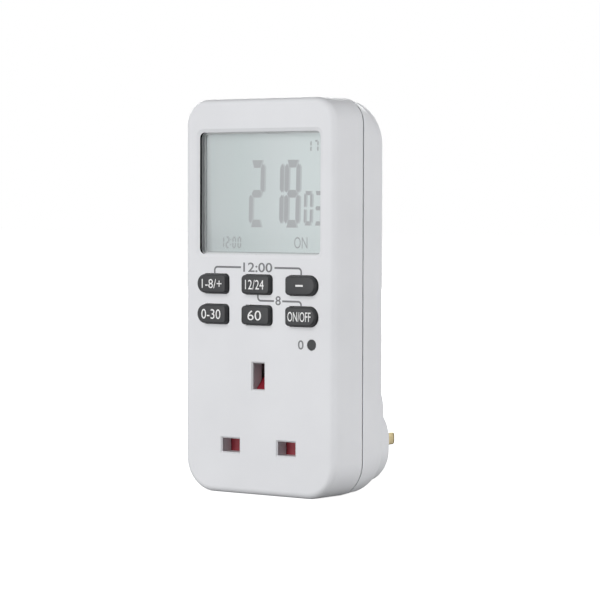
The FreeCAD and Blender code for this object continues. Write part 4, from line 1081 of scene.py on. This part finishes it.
def caseScrew(name, x, look):
    # a turned head and shank, with a cross cut out of the head
    seat = faceY + look["seat"]
    profile = [
        (look["shankRadius"] * look["tip"], seat - look["shankLength"]),
        (look["shankRadius"], seat - look["shankLength"] + look["shankRadius"]),
        (look["shankRadius"], seat),
        (look["headRadius"], seat),
        (look["headRadius"], seat + look["headHeight"] - look["edge"]),
    ]
    for angle in quarterTurn(look["edgeSteps"])[1:]:
        profile.append((
            look["headRadius"] - look["edge"] * (1 - math.cos(angle)) * look["crown"],
            seat + look["headHeight"] - look["edge"] * (1 - math.sin(angle)),
        ))
    rings = [
        [(x + px, depth, look["z"] + pz) for px, pz in circlePoints(radius, look["points"])]
        for radius, depth in profile
    ]
    vertices, faces = stackRings([list(reversed(ring)) for ring in rings])
    screw = addPiece(name, vertices, faces, screwSteel, "case", smooth=True)
    back = seat + look["headHeight"]
    arm = look["slotLength"] / 2
    side = look["slotWidth"] / 2
    cross = [
        (-side, -arm), (side, -arm), (side, -side), (arm, -side), (arm, side), (side, side),
        (side, arm), (-side, arm), (-side, side), (-arm, side), (-arm, -side), (-side, -side),
    ]
    foot = (look["slotFoot"], back - look["slotDepth"])
    mouth = (look["slotMouth"], back + look["slotClear"])
    cutRings = [
        [(x + px * scale, depth, look["z"] + pz * scale) for px, pz in cross]
        for scale, depth in (foot, mouth)
    ]
    cutVertices, cutFaces = stackRings([list(reversed(ring)) for ring in cutRings])
    cutMesh = bpy.data.meshes.new("cross")
    cutMesh.from_pydata(cutVertices, [], cutFaces)
    cutter = bpy.data.objects.new("cross", cutMesh)
    bpy.context.scene.collection.objects.link(cutter)
    cut = screw.modifiers.new("cross", "BOOLEAN")
    cut.object = cutter
    cut.solver = "EXACT"
    shaped = bpy.data.meshes.new_from_object(screw.evaluated_get(bpy.context.evaluated_depsgraph_get()))
    screw.modifiers.remove(cut)
    plain = screw.data
    screw.data = shaped
    bpy.data.meshes.remove(plain)
    bpy.data.objects.remove(cutter)


for name, side in (("case_screw_left", -1), ("case_screw_right", 1)):
    caseScrew(name, side * screwLook["x"], screwLook)
print("screws: done")


# Floor, light and camera
floorLook = {
    "size": 12.0,
    "drop": 0.02 * mm,
    "rough": 0.9,
    "near": 0.05,
    "far": 0.22,
    "glowNear": 0.86,
    "glowFar": 1.0,
    "white": 0.8,
    "bounce": 0.16,
}


def addFloor(look):
    # pale for the camera, darker for the light that would come back up, and lit to
    # plain white away from the object, so that its shadow stays
    mesh = bpy.data.meshes.new("floor")
    half = look["size"] / 2
    floorZ = caseBottom - look["drop"]
    mesh.from_pydata(
        [(-half, -half, floorZ), (half, -half, floorZ), (half, half, floorZ), (-half, half, floorZ)],
        [], [(0, 1, 2, 3)],
    )
    floor = bpy.data.objects.new("floor", mesh)
    bpy.context.scene.collection.objects.link(floor)
    material, tree, shader = newMaterial("paleFloor")
    shader.inputs["Roughness"].default_value = look["rough"]
    shader.inputs["Specular IOR Level"].default_value = 0.0
    path = addNode(tree, "ShaderNodeLightPath")
    paleness = addNode(tree, "ShaderNodeMapRange")
    paleness.inputs["To Min"].default_value = look["bounce"]
    paleness.inputs["To Max"].default_value = look["white"]
    tree.links.new(path.outputs["Is Camera Ray"], paleness.inputs["Value"])
    tree.links.new(paleness.outputs["Result"], shader.inputs["Base Color"])
    place = addNode(tree, "ShaderNodeTexCoord")
    distance = addNode(tree, "ShaderNodeVectorMath", operation="LENGTH")
    tree.links.new(place.outputs["Object"], distance.inputs[0])
    reach = addNode(tree, "ShaderNodeMapRange", interpolation_type="SMOOTHSTEP")
    reach.inputs["From Min"].default_value = look["near"]
    reach.inputs["From Max"].default_value = look["far"]
    reach.inputs["To Min"].default_value = look["glowNear"]
    reach.inputs["To Max"].default_value = look["glowFar"]
    tree.links.new(distance.outputs["Value"], reach.inputs["Value"])
    strength = addNode(tree, "ShaderNodeMath", operation="MULTIPLY")
    tree.links.new(path.outputs["Is Camera Ray"], strength.inputs[0])
    tree.links.new(reach.outputs["Result"], strength.inputs[1])
    shader.inputs["Emission Color"].default_value = (1, 1, 1, 1)
    tree.links.new(strength.outputs["Value"], shader.inputs["Emission Strength"])
    mesh.materials.append(material)


addFloor(floorLook)

lightLook = {
    "worldStrength": 0.05,
    "mirrored": 0.4,
    "key": {"place": (-0.3, -1.88, 0.06), "size": (1.1, 0.45), "power": 36.7},
    "side": {"place": (1.73, 0.7, 0.06), "size": (1.2, 0.45), "power": 42.5},
    "top": {"place": (-0.1, -1.5, 1.2), "size": (1.0, 0.6), "power": 10.4},
    "back": {"place": (-1.3, 1.5, 0.55), "size": (1.3, 0.7), "power": 30},
}
middle = Vector((0, faceY, (caseTop + caseBottom) / 2))


def addLamp(name, look):
    data = bpy.data.lights.new(name, "AREA")
    data.shape = "RECTANGLE"
    data.size, data.size_y = look["size"]
    data.energy = look["power"]
    lamp = bpy.data.objects.new(name, data)
    bpy.context.scene.collection.objects.link(lamp)
    lamp.location = Vector(look["place"])
    lamp.rotation_mode = "QUATERNION"
    lamp.rotation_quaternion = (middle - lamp.location).to_track_quat("-Z", "Y")


addLamp("keyLight", lightLook["key"])
addLamp("sideLight", lightLook["side"])
addLamp("topLight", lightLook["top"])
addLamp("backLight", lightLook["back"])


def addWorld(strength):
    # a dim even room that the camera and clear pieces see as white
    world = bpy.data.worlds.new("softRoom")
    world.use_nodes = True
    bpy.context.scene.world = world
    tree = world.node_tree
    background = tree.nodes["Background"]
    background.inputs["Color"].default_value = (1, 1, 1, 1)
    path = addNode(tree, "ShaderNodeLightPath")
    span = addNode(tree, "ShaderNodeMapRange")
    span.inputs["To Min"].default_value = strength
    span.inputs["To Max"].default_value = 1.0
    seen = addNode(tree, "ShaderNodeMath", operation="MAXIMUM")
    tree.links.new(path.outputs["Is Camera Ray"], seen.inputs[0])
    tree.links.new(path.outputs["Is Transmission Ray"], seen.inputs[1])
    mirrored = addNode(tree, "ShaderNodeMath", operation="MULTIPLY_ADD")
    mirrored.inputs[1].default_value = lightLook["mirrored"]
    tree.links.new(path.outputs["Is Glossy Ray"], mirrored.inputs[0])
    tree.links.new(seen.outputs["Value"], mirrored.inputs[2])
    tree.links.new(mirrored.outputs["Value"], span.inputs["Value"])
    tree.links.new(span.outputs["Result"], background.inputs["Strength"])


addWorld(lightLook["worldStrength"])

cameraLook = {
    "place": (529.867 * mm, -705.641 * mm, 76.404 * mm),
    "turn": 37.5256,
    "down": 2.0235,
    "roll": 0.1521,
    "focalPixels": 2721.22,
    "imagePixels": 600,
    "sensor": 36.0,
    "clip": (0.05, 20),
}


def addCamera(look):
    data = bpy.data.cameras.new("camera")
    data.sensor_width = look["sensor"]
    data.lens = look["focalPixels"] / look["imagePixels"] * look["sensor"]
    data.clip_start, data.clip_end = look["clip"]
    camera = bpy.data.objects.new("camera", data)
    bpy.context.scene.collection.objects.link(camera)
    turn = math.radians(look["turn"])
    down = math.radians(look["down"])
    forward = Vector((-math.sin(turn) * math.cos(down), math.cos(turn) * math.cos(down), -math.sin(down)))
    right = Vector((math.cos(turn), math.sin(turn), 0))
    up = right.cross(forward)
    roll = math.radians(look["roll"])
    tiltedRight = right * math.cos(roll) + up * math.sin(roll)
    tiltedUp = up * math.cos(roll) - right * math.sin(roll)
    facing = Matrix((tiltedRight, tiltedUp, -forward)).transposed()
    camera.matrix_world = Matrix.Translation(Vector(look["place"])) @ facing.to_4x4()
    bpy.context.scene.camera = camera


addCamera(cameraLook)
bpy.context.scene.view_settings.view_transform = "Standard"
print("stage: done")
